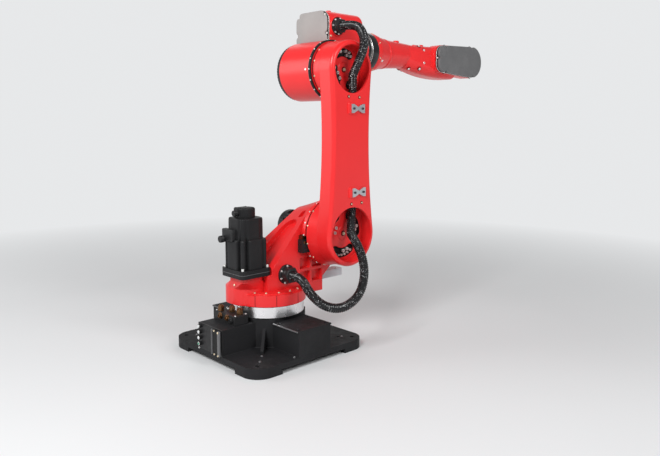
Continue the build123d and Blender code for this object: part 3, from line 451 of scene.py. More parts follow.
def pad(half_x: float, half_y: float, corner: float, edge: float, height: float) -> Grid:
    """Pad with round corners and a round top edge: its half widths, the two radii and its height."""
    return moulded(rounded_box(half_x, half_y, corner), round_edge(edge, height))


@dataclass
class Shell:
    """Collects grids of points and makes them one closed mesh.

    Args:
        name: name of the finished piece.
        points: its points so far, grid by grid.
        faces: its faces, as numbers of four points each.
        uvs: u and v of each corner of each face.
        count: how many points it has.
    """

    name: str
    points: list[Grid] = field(default_factory=list)
    faces: list[Grid] = field(default_factory=list)
    uvs: list[Grid] = field(default_factory=list)
    count: int = 0

    def add(self, grid: Grid, stretch: float = 1.0) -> "Shell":
        """Adds a grid, or copies of one, whose columns close on themselves.

        Face (i, j) joins rows i, i + 1 and columns j, j + 1; its u runs round and its v along the rows.

        Args:
            grid: shape (rows, columns, 3) or (copies, rows, columns, 3).
            stretch: what v reaches at the last row.

        Returns:
            The shell itself.
        """
        grids = grid if grid.ndim == 4 else grid[None]
        count, rows, columns, _ = grids.shape
        i, j = np.meshgrid(np.arange(rows - 1), np.arange(columns), indexing="ij")
        k = (j + 1) % columns
        low, high = i * columns, (i + 1) * columns
        quad = np.stack([low + j, low + k, high + k, high + j], axis=-1)
        u = np.stack([j, j + 1, j + 1, j], axis=-1) / columns
        v = np.stack([i, i, i + 1, i + 1], axis=-1) / (rows - 1) * stretch
        start = self.count + np.arange(count) * rows * columns
        self.points.append(grids.reshape(-1, 3))
        self.faces.append((quad.reshape(1, -1, 4) + start[:, None, None]).reshape(-1, 4))
        self.uvs.append(np.tile(np.stack([u, v], axis=-1).reshape(-1, 2), (count, 1)))
        self.count += count * rows * columns
        return self

    def mesh(self) -> bpy.types.Mesh:
        """Makes the plain mesh of all grids."""
        mesh = bpy.data.meshes.new(self.name)
        mesh.from_pydata(np.concatenate(self.points), [], np.concatenate(self.faces).tolist())
        return mesh

    def build(self, body: str, finish: bpy.types.Material, slot: str,
              sharp: float = SHARP_ANGLE) -> bpy.types.Object:
        """Makes the mesh, closes its seams and poles, and lets it ride on a body.

        Args:
            body: name of the CAD body that carries the piece.
            finish: its material.
            slot: the record's material slot; not used.
            sharp: edges that turn more than this, in degrees, stay sharp.

        Returns:
            The finished object, at the origin.
        """
        mesh = self.mesh()
        layer = mesh.uv_layers.new(name="surface")
        layer.uv.foreach_set("vector", np.concatenate(self.uvs).astype(np.float32).ravel())
        work = bmesh.new()
        work.from_mesh(mesh)
        bmesh.ops.remove_doubles(work, verts=work.verts, dist=1e-6)
        bmesh.ops.dissolve_degenerate(work, edges=work.edges, dist=1e-7)
        bmesh.ops.recalc_face_normals(work, faces=work.faces)
        work.to_mesh(mesh)
        work.free()
        mesh.shade_smooth()
        mesh.set_sharp_from_angle(angle=math.radians(sharp))
        mesh.materials.append(finish)
        piece = stand(self.name, mesh)
        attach(piece, body)
        LOG.info("%s: %d faces on %s", self.name, len(mesh.polygons), body)
        return piece


def stand(name: str, data: bpy.types.ID) -> bpy.types.Object:
    """Makes an object of a mesh, curve, light or camera and links it to the scene."""
    made = bpy.data.objects.new(name, data)
    bpy.context.scene.collection.objects.link(made)
    return made


# Finishes


class Bench:
    """Adds nodes to one material and links them.

    Args:
        name: the material's name.
    """

    def __init__(self, name: str) -> None:
        """Starts a material with its principled shader."""
        self.material = bpy.data.materials.new(name)
        self.material.use_nodes = True
        self.tree = self.material.node_tree
        self.surface = self.tree.nodes["Principled BSDF"]
        self.where = self.tree.nodes.new("ShaderNodeTexCoord")

    def node(self, kind: str, links: dict[str | int, object] | None = None,
             **settings: object) -> bpy.types.Node:
        """Adds a node.

        Args:
            kind: Blender's name of the node.
            links: input name or number to a value, or to the output socket that feeds it.
            settings: the node's own properties.

        Returns:
            The new node.
        """
        made = self.tree.nodes.new(kind)
        for key, value in settings.items():
            setattr(made, key, value)
        for key, value in (links or {}).items():
            self.feed(made.inputs[key], value)
        return made

    def feed(self, socket: Socket, value: object) -> None:
        """Links an output to a socket, or sets the socket's own value.

        Args:
            socket: the input to feed.
            value: an output socket, or a plain value.
        """
        if isinstance(value, Socket):
            self.tree.links.new(value, socket)
        else:
            socket.default_value = value

    def wear(self, **values: object) -> None:
        """Feeds the shader's own sockets, named with underscores for spaces."""
        for key, value in values.items():
            self.feed(self.surface.inputs[key.replace("_", " ")], value)

    def place(self, scale: Point = (1, 1, 1), uv: bool = False) -> Socket:
        """Object or UV coordinates, stretched by a scale."""
        source = self.where.outputs["UV" if uv else "Object"]
        return self.node("ShaderNodeMapping", {"Vector": source, "Scale": scale}).outputs["Vector"]

    def noise(self, scale: float, detail: float = 2.0, vector: Socket | None = None) -> Socket:
        """Noise from 0 to 1 over the surface."""
        links = {"Vector": vector or self.where.outputs["Object"], "Scale": scale, "Detail": detail}
        return self.node("ShaderNodeTexNoise", links).outputs["Fac"]

    def spread(self, value: Socket, low: float, high: float, start: float = 0.3, end: float = 0.7) -> Socket:
        """Maps a value between start and end to low and high."""
        links = {"Value": value, "From Min": start, "From Max": end, "To Min": low, "To Max": high}
        return self.node("ShaderNodeMapRange", links).outputs["Result"]

    def blend(self, share: Socket, first: Colour, second: Colour) -> Socket:
        """Mixes two colours by a share from 0 to 1. The node's colours are inputs 6 and 7 and output 2."""
        links = {"Factor": share, 6: (*first, 1.0), 7: (*second, 1.0)}
        return self.node("ShaderNodeMix", links, data_type="RGBA").outputs[2]

    def relief(self, height: Socket, strength: float, distance: float, edge: float = 0.0) -> None:
        """Bump from a height, on edges softened to a radius where one is given.

        Args:
            height: the pattern that is raised.
            strength: how much of it shows, from 0 to 1.
            distance: height of its crests in metres.
            edge: radius of the softened edges.
        """
        links = {"Height": height, "Strength": strength, "Distance": distance}
        if edge:
            links["Normal"] = self.node("ShaderNodeBevel", {"Radius": edge}, samples=4).outputs["Normal"]
        self.wear(Normal=self.node("ShaderNodeBump", links).outputs["Normal"])


@dataclass(frozen=True)
class Finish:
    """What the solid finishes share: two close tones that drift into each other, and a range of roughness.

    Args:
        name: the material's name.
        slot: the record's material slot that it belongs to.
        tone: the first colour.
        deep: the second colour, a little darker.
        rough: lowest and highest roughness.
    """

    name: str
    slot: str
    tone: Colour
    deep: Colour
    rough: Pair

    def lay(self, bench: Bench, drift: Socket, handling: Socket) -> None:
        """Colours the surface by one pattern and roughens it by another."""
        bench.wear(Base_Color=bench.blend(bench.spread(drift, 0, 1), self.tone, self.deep))
        bench.wear(Roughness=bench.spread(handling, *self.rough))


@dataclass(frozen=True)
class Paint(Finish):
    """Sprayed paint with an orange-peel relief and softened casting edges.

    Args:
        peel: strength of the relief.
        edge: radius of the softened edges.
        coat: weight of the clear coat.
        shine: level of the mirror-like share.
    """

    peel: float = 0.02
    edge: float = 0.001
    coat: float = 0.0
    shine: float = 0.16

    def make(self) -> bpy.types.Material:
        """Builds the material."""
        bench = Bench(self.name)
        self.lay(bench, bench.noise(scale=5.0, detail=3.0), bench.noise(scale=38.0))
        bench.relief(bench.noise(scale=620.0, detail=1.0), self.peel, distance=0.0004, edge=self.edge)
        bench.wear(Coat_Weight=self.coat, Coat_Roughness=0.25, Specular_IOR_Level=self.shine)
        return bench.material


@dataclass(frozen=True)
class Metal(Finish):
    """Machined metal: fine tool lines along the stretched directions of a noise.

    Args:
        lines: how many lines there are in a metre along X, Y and Z.
        depth: strength of their relief.
        metal: share of metal, less where the photograph shows a paler head.
    """

    lines: Point = (200, 200, 200)
    depth: float = 0.15
    metal: float = 1.0

    def make(self) -> bpy.types.Material:
        """Builds the material."""
        bench = Bench(self.name)
        marks = bench.noise(scale=1.0, detail=3.0, vector=bench.place(self.lines))
        self.lay(bench, marks, bench.noise(scale=60.0, detail=4.0))
        bench.relief(marks, self.depth, distance=0.0002, edge=0.0008)
        bench.wear(Metallic=self.metal)
        return bench.material


@dataclass(frozen=True)
class Moulding(Finish):
    """Moulded plastic or rubber with a fine grain.

    Args:
        grain: strength of the grain's relief.
    """

    grain: float = 0.20

    def make(self) -> bpy.types.Material:
        """Builds the material."""
        bench = Bench(self.name)
        self.lay(bench, bench.noise(scale=14.0, detail=3.0), bench.noise(scale=90.0))
        bench.relief(bench.noise(scale=1400.0, detail=1.0), self.grain, distance=0.0003, edge=0.001)
        bench.wear(Specular_IOR_Level=0.30)
        return bench.material


@dataclass(frozen=True)
class Wrap:
    """Sleeve of the conduit: black, with fine pale specks that paint glints on its ribs, from the tube's own
    UV map.

    A pale speck, a painted glint, shows at the middle of a cell whose own random value is above the middle,
    in about half of them.

    Args:
        name: the material's name.
        slot: the record's material slot that it belongs to.
        tone: colour of the sleeve.
        thread: colour of the pale specks, which paint glints on the ribs.
        along: cells along one sleeve length.
        around: cells round the tube.
    """

    name: str
    slot: str
    tone: Colour
    thread: Colour
    along: float
    around: float

    def make(self) -> bpy.types.Material:
        """Builds the material."""
        bench = Bench(self.name)
        grid = bench.place((self.around, self.along, 1), uv=True)
        cells = bench.node("ShaderNodeTexVoronoi", {"Vector": grid, "Scale": 1.0})
        # Pale specks at the cells' middles: painted glints
        speck = bench.spread(cells.outputs["Distance"], 1, 0, start=0.19, end=0.27)
        chance = bench.spread(cells.outputs["Color"], 0, 1, start=0.53, end=0.57)
        both = bench.node("ShaderNodeMath", {0: speck, 1: chance}, operation="MULTIPLY")
        bench.wear(Base_Color=bench.blend(both.outputs[0], self.tone, self.thread))
        bench.wear(Roughness=bench.spread(bench.noise(scale=120.0), 0.26, 0.34), Specular_IOR_Level=0.35)
        bench.relief(bench.noise(scale=700.0, detail=1.0), strength=0.05, distance=0.0003)
        return bench.material


FINISHES = (
    Paint("red_enamel", "red_paint", (0.80, 0.020, 0.022), (0.77, 0.018, 0.020), (0.30, 0.34),
          peel=0.02, edge=0.003, coat=0.08, shine=0.42),
    Paint("red_shadow", "red_paint", (0.16, 0.006, 0.006), (0.10, 0.004, 0.004), (0.50, 0.60), peel=0.10),
    Paint("base_black", "base_paint", (0.022, 0.022, 0.024), (0.014, 0.014, 0.015), (0.50, 0.62),
          peel=0.25, edge=0.002),
    # A lighter black that paints the highlight along lit edges: lid rims, panel posts, the motor's joint bead
    # and the drum trim
    Paint("edge_highlight_black", "base_paint", (0.120, 0.120, 0.125), (0.095, 0.095, 0.100), (0.26, 0.34),
          peel=0.05, shine=0.5),
    Paint("motor_black", "motor_paint", (0.020, 0.020, 0.021), (0.013, 0.013, 0.014), (0.34, 0.44),
          peel=0.20, edge=0.002),
    Paint("gloss_black", "motor_paint", (0.016, 0.016, 0.017), (0.011, 0.011, 0.012), (0.16, 0.24),
          peel=0.05, coat=0.2, shine=0.35),
    Metal("turned_ring", "ring_steel", (0.92, 0.92, 0.93), (0.90, 0.90, 0.91), (0.27, 0.29),
          lines=(1, 1, 420), depth=0.004),
    Metal("clamp_sheet", "clamp_steel", (0.66, 0.67, 0.70), (0.55, 0.56, 0.60), (0.30, 0.42),
          lines=(30, 400, 900)),
    Metal("ground_flange", "flange_steel", (0.60, 0.61, 0.63), (0.50, 0.51, 0.54), (0.22, 0.34),
          lines=(300, 300, 20)),
    Metal("bolt_zinc", "clamp_steel", (0.88, 0.88, 0.86), (0.80, 0.80, 0.78), (0.24, 0.34),
          depth=0.05, metal=0.5),
    Metal("bolt_gold", "clamp_steel", (0.86, 0.76, 0.58), (0.76, 0.64, 0.46), (0.24, 0.34),
          depth=0.05, metal=0.6),
    Metal("bolt_black", "clamp_steel", (0.10, 0.10, 0.11), (0.06, 0.06, 0.07), (0.30, 0.42), depth=0.05),
    Metal("bolt_dull", "clamp_steel", (0.34, 0.34, 0.35), (0.26, 0.26, 0.27), (0.34, 0.46),
          depth=0.05, metal=0.7),
    Metal("brass_fitting", "brass", (0.27, 0.14, 0.065), (0.13, 0.07, 0.035), (0.30, 0.46),
          lines=(300, 300, 300)),
    Moulding("black_moulding", "black_plastic", (0.018, 0.018, 0.019), (0.012, 0.012, 0.013), (0.36, 0.50)),
    Moulding("pale_moulding", "pale_plastic", (0.62, 0.63, 0.66), (0.56, 0.57, 0.60), (0.35, 0.50),
             grain=0.15),
    Moulding("lamp_white", "pale_plastic", (0.72, 0.74, 0.76), (0.62, 0.64, 0.66), (0.12, 0.20),
             grain=0.02),
    Moulding("lamp_green", "pale_plastic", (0.030, 0.30, 0.18), (0.020, 0.22, 0.13), (0.12, 0.20),
             grain=0.02),
    Moulding("grey_cover", "cover_plastic", (0.150, 0.150, 0.152), (0.125, 0.125, 0.128), (0.34, 0.46),
             grain=0.12),
    Moulding("pale_cover", "cover_plastic", (0.330, 0.310, 0.300), (0.300, 0.280, 0.272), (0.36, 0.48),
             grain=0.12),
    # Black of real seals and gaskets, also laid as dark sheets and discs that paint the shade in pockets,
    # recesses, notches and slots
    Moulding("seal_and_shade_black", "seal_rubber", (0.012, 0.012, 0.012), (0.008, 0.008, 0.008), (0.55, 0.70),
             grain=0.25),
    Wrap("conduit_sleeve", "conduit", (0.009, 0.009, 0.010), (0.66, 0.67, 0.69), along=150.0, around=24.0),
)


class Finishes:
    """Makes each finish once and dresses the CAD nodes with the finish of their slot."""

    def __init__(self) -> None:
        """Builds every material and notes which one each slot takes first."""
        self.by_name = {finish.name: finish.make() for finish in FINISHES}
        self.slots = {finish.name: finish.slot for finish in FINISHES}
        self.by_slot: dict[str, str] = {}
        for finish in FINISHES:
            self.by_slot.setdefault(finish.slot, finish.name)

    def dress(self, frame: dict) -> None:
        """Gives each CAD node the finish of its slot in the record.
        """
        for part in frame["record"]["subparts"]:
            finish = self.by_slot[part["material_slot"]]
            mesh = frame["nodes"][part["node"]].data
            mesh.materials.clear()
            mesh.materials.append(self.by_name[finish])
            LOG.info("%s dressed with %s", part["node"], finish)

    def finish(self, shell: Shell, body: str, name: str, sharp: float = SHARP_ANGLE) -> bpy.types.Object:
        """Builds a shell with one of the finishes, on a body."""
        return shell.build(body, self.by_name[name], self.slots[name], sharp)


# Fasteners


class Head(Enum):
    """Screw head or fitting: (radius, height) pairs in shares of its radius, and which rows are hexagons."""

    SOCKET = (((1, 0), (1, 0.82), (0.88, 0.95), (0.5, 0.95), (0.45, 0.45), (0, 0.45)), (3, 4))
    HEX = (((1.2, 0), (1.2, 0.12), (0.88, 0.14), (0.88, 0.7), (0.78, 0.8), (0, 0.8)), (2, 3))
    STUD = (((1, 0), (1, 1.5), (0.88, 1.65), (0.56, 1.65), (0.50, 0.6), (0, 0.6)), (3, 4))
    # WELL_SHADE is a thin disc; in a dark finish it paints the shade of a recess round a screw
    WELL_SHADE = (((1, 0), (1, 0.1), (0.92, 0.16), (0.7, 0.08), (0, 0.08)), ())
    LENS = (((1, 0), (1, 0.15), (0.85, 0.4), (0.45, 0.6), (0, 0.65)), ())
    BOSS = (((1.15, -0.3), (1.05, 0.1), (0.98, 0.35), (0.86, 0.5), (0, 0.52)), ())

    def row(self, radius: float, spots: Sequence[Spot], columns: int = 16) -> Grid:
        """Copies of the head, one at each spot.

        Args:
            radius: the head's radius.
            spots: points and the directions that they look in.
            columns: points round each head.

        Returns:
            Grids of shape (spots, rows, columns, 3).
        """
        profile, bent = self.value
        return copies(turned([(r * radius, h * radius) for r, h in profile], columns, bent), spots)


@dataclass
class Assembly:
    """What every sub-assembly shares: the finishes it dresses its pieces with, and the body they ride on.

    Args:
        finishes: the scene's finishes.
        body: the CAD body that carries the pieces.
    """

    finishes: Finishes
    body: str = "base"

    def piece(self, name: str, finish: str, *grids: Grid, replaces: str = "",
              sharp: float = SHARP_ANGLE) -> None:
        """Makes one piece of several grids and lets it stand for a CAD node where one is named.

        Args:
            name: the piece's name.
            finish: name of its finish.
            grids: its surfaces.
            replaces: CAD node that it stands for.
            sharp: edges that turn more than this, in degrees, stay sharp.
        """
        shell = Shell(name)
        for grid in grids:
            shell.add(grid)
        made = self.finishes.finish(shell, self.body, finish, sharp)
        if replaces:
            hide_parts(replaces)

    def fasten(self, name: str, finish: str, size: float, spots: Sequence[Spot],
               head: Head = Head.SOCKET, columns: int = 16) -> None:
        """Makes one piece of all the screws or fittings of a kind.

        Args:
            name: the piece's name.
            finish: name of its finish.
            size: radius of the heads.
            spots: points and the directions that they look in.
            head: which head they have.
            columns: points round each head.
        """
        self.piece(name, finish, head.row(size, spots, columns))

    def framed_cover(self, node: str, finish: str, plane: WorkPlane, outline: Grid, shift: Grid,
                     edge: Profile) -> None:
        """Moulds a notched cover that stands for a node, and the dark frame between it and its seat, partly
        gasket and partly painted shade of the gap.

        Args:
            node: the CAD node; its name starts the names of both pieces.
            finish: name of the cover's finish.
            plane: the seat, looking the way the cover does.
            outline: closed anticlockwise outline without the notches.
            shift: the notches, as notches_in gives them.
            edge: (inset, height) pairs of the cover's side and edge, over the frame.
        """
        tall, lap, gap, play = 0.0086, 0.004, 0.0006, 0.0002
        shell = [(lap, tall), *((inset, height + tall) for inset, height in edge)]
        self.piece(node + "_shell", finish, plane.place(moulded(outline, shell, shift=shift)), replaces=node)
        inner = 0.006
        # Dark frame under the cover: gasket, with painted shade of the gap round it
        ring = [(gap, 0.0), (gap, tall - play), (inner, tall + play), (inner, 0.0), (gap, 0.0)]
        frame = moulded(outline, ring, close=False, shift=shift)
        self.piece(node + "_gasket_and_shade", "seal_and_shade_black", plane.place(frame))


# Conduit


@dataclass
class Conduit:
    """Ribbed cable conduit in three lengths that meet at the shoulder and elbow axes.

    Args:
        finishes: the scene's finishes.
        radius: outer radius at a rib's crest.
        groove: depth of the groove between ribs.
        pitch: distance from rib to rib.
        rows_per_rib: rings of points in each rib.
        columns: points round the tube.
        sleeve_length: length over which the sleeve's pattern runs once.
        lower: control points from the turret's gland to the shoulder axis.
        arm: control points from the shoulder axis to the elbow axis.
        upper: control points from the elbow axis to the elbow's gland.
    """

    finishes: Finishes
    radius: float = 0.0205
    groove: float = 0.0024
    pitch: float = 0.0085
    rows_per_rib: int = 4
    columns: int = 28
    sleeve_length: float = 0.72
    lower: Sequence[Point] = (
        (0.018, -0.153, 0.352),
        (0.018, -0.214, 0.352),
        (0.000, -0.282, 0.302),
        (0.020, -0.352, 0.252),
        (0.098, -0.385, 0.232),
        (0.186, -0.398, 0.272),
        (0.226, -0.396, 0.352),
        (0.240, -0.372, 0.428),
        (0.252, -0.320, 0.490),
        (0.268, -0.266, 0.528),
    )
    arm: Sequence[Point] = (
        (0.268, -0.266, 0.528),
        (0.290, -0.246, 0.574),
        (0.300, -0.241, 0.640),
        (0.304, -0.240, 0.760),
        (0.300, -0.242, 0.930),
        (0.304, -0.240, 1.080),
        (0.300, -0.243, 1.190),
        (0.286, -0.256, 1.236),
    )
    upper: Sequence[Point] = (
        (0.286, -0.256, 1.236),
        (0.284, -0.296, 1.296),
        (0.296, -0.318, 1.356),
        (0.316, -0.296, 1.414),
        (0.335, -0.232, 1.470),
        (0.335, -0.141, 1.470),
    )

    def centreline(self, name: str, route: Sequence[Point]) -> Grid:
        """Points of the smooth NURBS line that the route's points control.

        Args:
            name: name of the scratch curve.
            route: the control points.

        Returns:
            Points evenly spaced along the line, of shape (rows, 3).
        """
        curve = bpy.data.curves.new(name, "CURVE")
        curve.dimensions = "3D"
        spline = curve.splines.new("NURBS")
        spline.points.add(len(route) - 1)
        spline.points.foreach_set("co", np.array([(*p, 1.0) for p in route]).ravel())
        spline.order_u = 3
        spline.use_endpoint_u = True
        spline.resolution_u = 24
        holder = stand(name, curve)
        drawn = bpy.data.meshes.new_from_object(holder)
        line = np.zeros(len(drawn.vertices) * 3)
        drawn.vertices.foreach_get("co", line)
        line = line.reshape(-1, 3)
        bpy.data.objects.remove(holder)
        bpy.data.meshes.remove(drawn)
        run = run_of(line)
        rows = int(run[-1] / self.pitch * self.rows_per_rib)
        return along_line(line, np.linspace(0, run[-1], rows), run)

    def tube(self, line: Grid) -> Grid:
        """Ribbed tube along a line: point (s, t) = line(s) + r(s) (cos t side + sin t up).

        The radius dips between ribs: r(s) = R - groove (1 - cos(2 pi s / pitch)) / 2. The side direction is
        carried along the line, each one being the last with its part along the new tangent taken out.

        Args:
            line: centreline points of shape (rows, 3).

        Returns:
            Grid of shape (rows + 2, columns, 3), closed at both ends.
        """
        tangent = np.gradient(line, axis=0)
        tangent /= np.linalg.norm(tangent, axis=1, keepdims=True)
        oblique = (0.31, 0.22, 0.92)
        side = np.cross(tangent[0], oblique)
        sides = []
        for direction in tangent:
            side = side - direction * (side @ direction)
            side = side / np.linalg.norm(side)
            sides.append(side)
        across = np.array(sides)
        up = np.cross(tangent, across)
        phase = np.arange(len(line)) / self.rows_per_rib * 2 * math.pi
        radius = self.radius - self.groove * (1 - np.cos(phase)) / 2
        turn = all_round(self.columns)[None, :, None]
        ring = np.cos(turn) * across[:, None] + np.sin(turn) * up[:, None]
        return capped(line[:, None] + radius[:, None, None] * ring, line)

    def build(self) -> None:
        """Makes the three lengths, each in place of its hidden CAD conduit."""
        lengths = (
            ("lower", self.lower, "turret"),
            ("arm", self.arm, "upper_arm"),
            ("upper", self.upper, "elbow"),
        )
        for name, route, body in lengths:
            line = self.centreline(name + "_line", route)
            length = float(np.linalg.norm(np.diff(line, axis=0), axis=1).sum())
            shell = Shell(name + "_ribbed_conduit").add(self.tube(line), stretch=length / self.sleeve_length)
            piece = self.finishes.finish(shell, body, "conduit_sleeve")
            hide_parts(name + "_conduit")
            LOG.info("%s conduit is %.0f mm long", name, length * 1000)


# Base and ring


@dataclass
class Base(Assembly):
    """Plate, beams, column and cable panel of the base.

    Args:
        plate_top: height of the plate's top.
        beam_top: height of the near lid's top.
        lid_drop: how much lower the far lid lies.
        beam_half: half width of the beams.
        beam_reach: distance from the middle to a beam's end.
        column_half: half width of the column's foot.
        column_cut: how far its corners are cut off.
        panel_x: place of the rear panel's face.
        lamp_x: place of the lamps' seats.
        lamp_y: place of the row of lamps across the panel.
        lamp_z: their heights, the last one green.
        block_top: height of the terminal block's top.
        fittings: x and y of the upright fittings on the block.
    """

    body: str = "base"
    plate_top: float = 0.045
    beam_top: float = 0.159
    lid_drop: float = 0.014
    beam_half: float = 0.090
    beam_reach: float = 0.318
    column_half: float = 0.150
    column_cut: float = 0.066
    panel_x: float = -0.3277
    lamp_x: float = -0.332
    lamp_y: float = 0.072
    lamp_z: Sequence[float] = (0.146, 0.120, 0.094, 0.068)
    block_top: float = 0.197
    fittings: Sequence[Pair] = ((-0.226, 0.052), (-0.200, 0.004), (-0.200, -0.052))

    def welds(self) -> None:
        """Lays a bead round the foot of the column and along the feet of the beams."""
        gap, column_bead, beam_bead = 0.001, 0.004, 0.003
        half, flat = self.column_half + gap, self.column_half - self.column_cut
        corners = np.array([(half, -flat), (half, flat), (flat, half), (-flat, half),
                            (-half, flat), (-half, -flat), (-flat, -half), (flat, -half)])
        level = WorkPlane.facing((0, 0, self.plate_top + gap), UP)
        foot = level.outline(even_outline(corners, 160))
        beads = [bead(foot, UP, column_bead, column_bead)]
        run = np.linspace(self.column_half, self.beam_reach, 20)
        for x, y in ((0, -1), (0, 1), (-1, 0)):
            for side in SIDES:
                across = np.full(len(run), side * (self.beam_half + gap))
                foot = level.outline(np.stack([x * run + y * across, y * run + x * across], axis=-1))
                beads.append(bead(foot, UP, beam_bead, beam_bead, closed=False))
        self.piece("base_weld_beads", "base_black", *beads)

    def lids(self) -> None:
        """Rolls the outer edges of the side lids in a lighter black that paints their highlight, and screws
        the lids down.
        """
        half, root, end, roll = 0.095, 0.152, 0.3165, 0.0035
        rims, screws = [], []
        for side, top in ((-1, self.beam_top), (1, self.beam_top - self.lid_drop)):
            edge = [(-half, side * root), (-half, side * end), (half, side * end), (half, side * root)]
            level = WorkPlane.facing((0, 0, top - roll), UP)
            rims.append(bead(level.outline(np.array(edge)), UP, roll, roll, closed=False))
            screws += [(x, side * y, top) for x in (-0.078, 0.078) for y in (0.182, 0.300)]
        self.piece("beam_lid_rims", "edge_highlight_black", *rims)
        self.fasten("beam_lid_screws", "bolt_black", 0.005, facing_spots(UP, screws))

    def panel(self) -> None:
        """Builds the rear panel's upright posts in a lighter black that paints the highlight on their edges,
        a dark pad that paints the shade inside its slot, and its screws.
        """
        middle = (self.plate_top + self.beam_top) / 2
        post_y, slot_y, lip_y, strip_y = -0.081, -0.052, -0.048, -0.029
        posts = []
        for y, half in ((post_y, 0.009), (strip_y, 0.004)):
            seat = WorkPlane.facing((self.panel_x, y, middle), REAR)
            posts.append(seat.place(pad(half, 0.055, 0.0035, 0.0035, 0.006)))
        self.piece("panel_posts", "edge_highlight_black", *posts)
        # Dark pad in the slot: painted shade inside the opening
        slot = WorkPlane.facing((self.panel_x, slot_y, middle), REAR)
        self.piece("panel_slot_shade", "seal_and_shade_black", slot.place(pad(0.018, 0.052, 0.006, 0.001, 0.0015)))
        screws = [(self.panel_x - 0.006, post_y, z) for z in (0.151, 0.052)]
        screws += [(self.panel_x - 0.002, lip_y, z) for z in (0.153, 0.051)]
        self.fasten("panel_screws", "bolt_gold", 0.0040, facing_spots(REAR, screws))

    def lamps(self) -> None:
        """Builds the column of lamps on the rear panel and the screw below it."""
        lens, sink = 0.0056, 0.0005
        seats = [(self.lamp_x, self.lamp_y, z) for z in self.lamp_z]
        rim = turned([(0.0076, -0.001), (0.0076, 0.001), (0.0066, 0.002), (lens, 0.002), (lens, sink)], 28)
        self.piece("panel_lamp_rims", "bolt_zinc", copies(rim, facing_spots(REAR, seats)))
        lenses = Head.LENS.row(lens, facing_spots(REAR, [(x - sink, y, z) for x, y, z in seats]), 24)
        self.piece("panel_lamp_lenses", "lamp_white", lenses[:3])
        self.piece("panel_lamp_green", "lamp_green", lenses[3:])
        low = [(self.panel_x, self.lamp_y, 0.050)]
        self.fasten("panel_low_screw", "bolt_zinc", 0.004, facing_spots(REAR, low))

    def terminals(self) -> None:
        """Turns the hose barbs, nuts and cable sleeves on the terminal block."""
        nut = [(0.0130, 0), (0.0130, 0.004), (0.0118, 0.005), (0.0098, 0.005), (0.0098, 0.0065)]
        barb = [(0.0084, 0.0065), (0.0096, 0.0075), (0.0090, 0.010), (0.0064, 0.0102)]
        bore = [(0.0064, 0.006), (0, 0.006)]
        shape = turned(nut + barb + bore, 36, hex_rows=(0, 1))
        upright = copies(shape, facing_spots(UP, [(x, y, self.block_top + 0.020) for x, y in self.fittings]))
        sides = [(-0.244, 0.030, 0.186), (-0.244, -0.022, 0.186), (-0.244, -0.050, 0.180)]
        rear = copies(shape, facing_spots(REAR, sides))
        self.piece("terminal_barbs", "brass_fitting", upright, rear[:2])
        self.piece("terminal_breather", "black_moulding", rear[2:])
        nuts = [(-0.188, 0.050, self.block_top), (-0.180, 0.030, self.block_top)]
        self.fasten("terminal_nuts", "bolt_zinc", 0.007, facing_spots(UP, nuts))
        top = WorkPlane.facing((-0.209, 0, self.block_top), UP)
        plate_height = 0.003
        plate = pad(0.033, 0.075, 0.004, 0.002, plate_height)
        self.piece("terminal_top_plate", "black_moulding", top.place(plate))
        screws = [(x, y, self.block_top + plate_height) for x in (-0.236, -0.182) for y in (-0.070, 0.070)]
        self.fasten("terminal_screws", "bolt_zinc", 0.0036, facing_spots(UP, screws))

    def bolts(self) -> None:
        """Sets the nuts near the plate's corners and the screws beside the rear beam."""
        nuts = [(side_x * x, side_y * y, self.plate_top)
                for side_x in SIDES for side_y in SIDES for x, y in ((0.190, 0.193), (0.236, 0.241))]
        self.fasten("plate_nuts", "bolt_dull", 0.0050, facing_spots(UP, nuts), Head.HEX)
        screws = [(-0.102, side * 0.302, self.plate_top) for side in SIDES]
        self.fasten("beam_screws", "bolt_dull", 0.005, facing_spots(UP, screws))

    def ring(self) -> None:
        """Adds the dark rings below and above the slewing ring, partly seals and partly painted shade along
        its edges.
        """
        low = [(0.158, 0.1722), (0.1632, 0.1722), (0.1636, 0.174), (0.1632, 0.176), (0.158, 0.176)]
        high = [(0.156, 0.2235), (0.1626, 0.2235), (0.163, 0.2255), (0.1618, 0.2268), (0.156, 0.2268)]
        self.piece("slewing_ring_seals_and_shade", "seal_and_shade_black", turned(low, 144), turned(high, 144))

    def build(self) -> None:
        """Builds every piece of the base."""
        self.welds()
        self.lids()
        self.panel()
        self.lamps()
        self.terminals()
        self.bolts()
        self.ring()


# Turret and motors


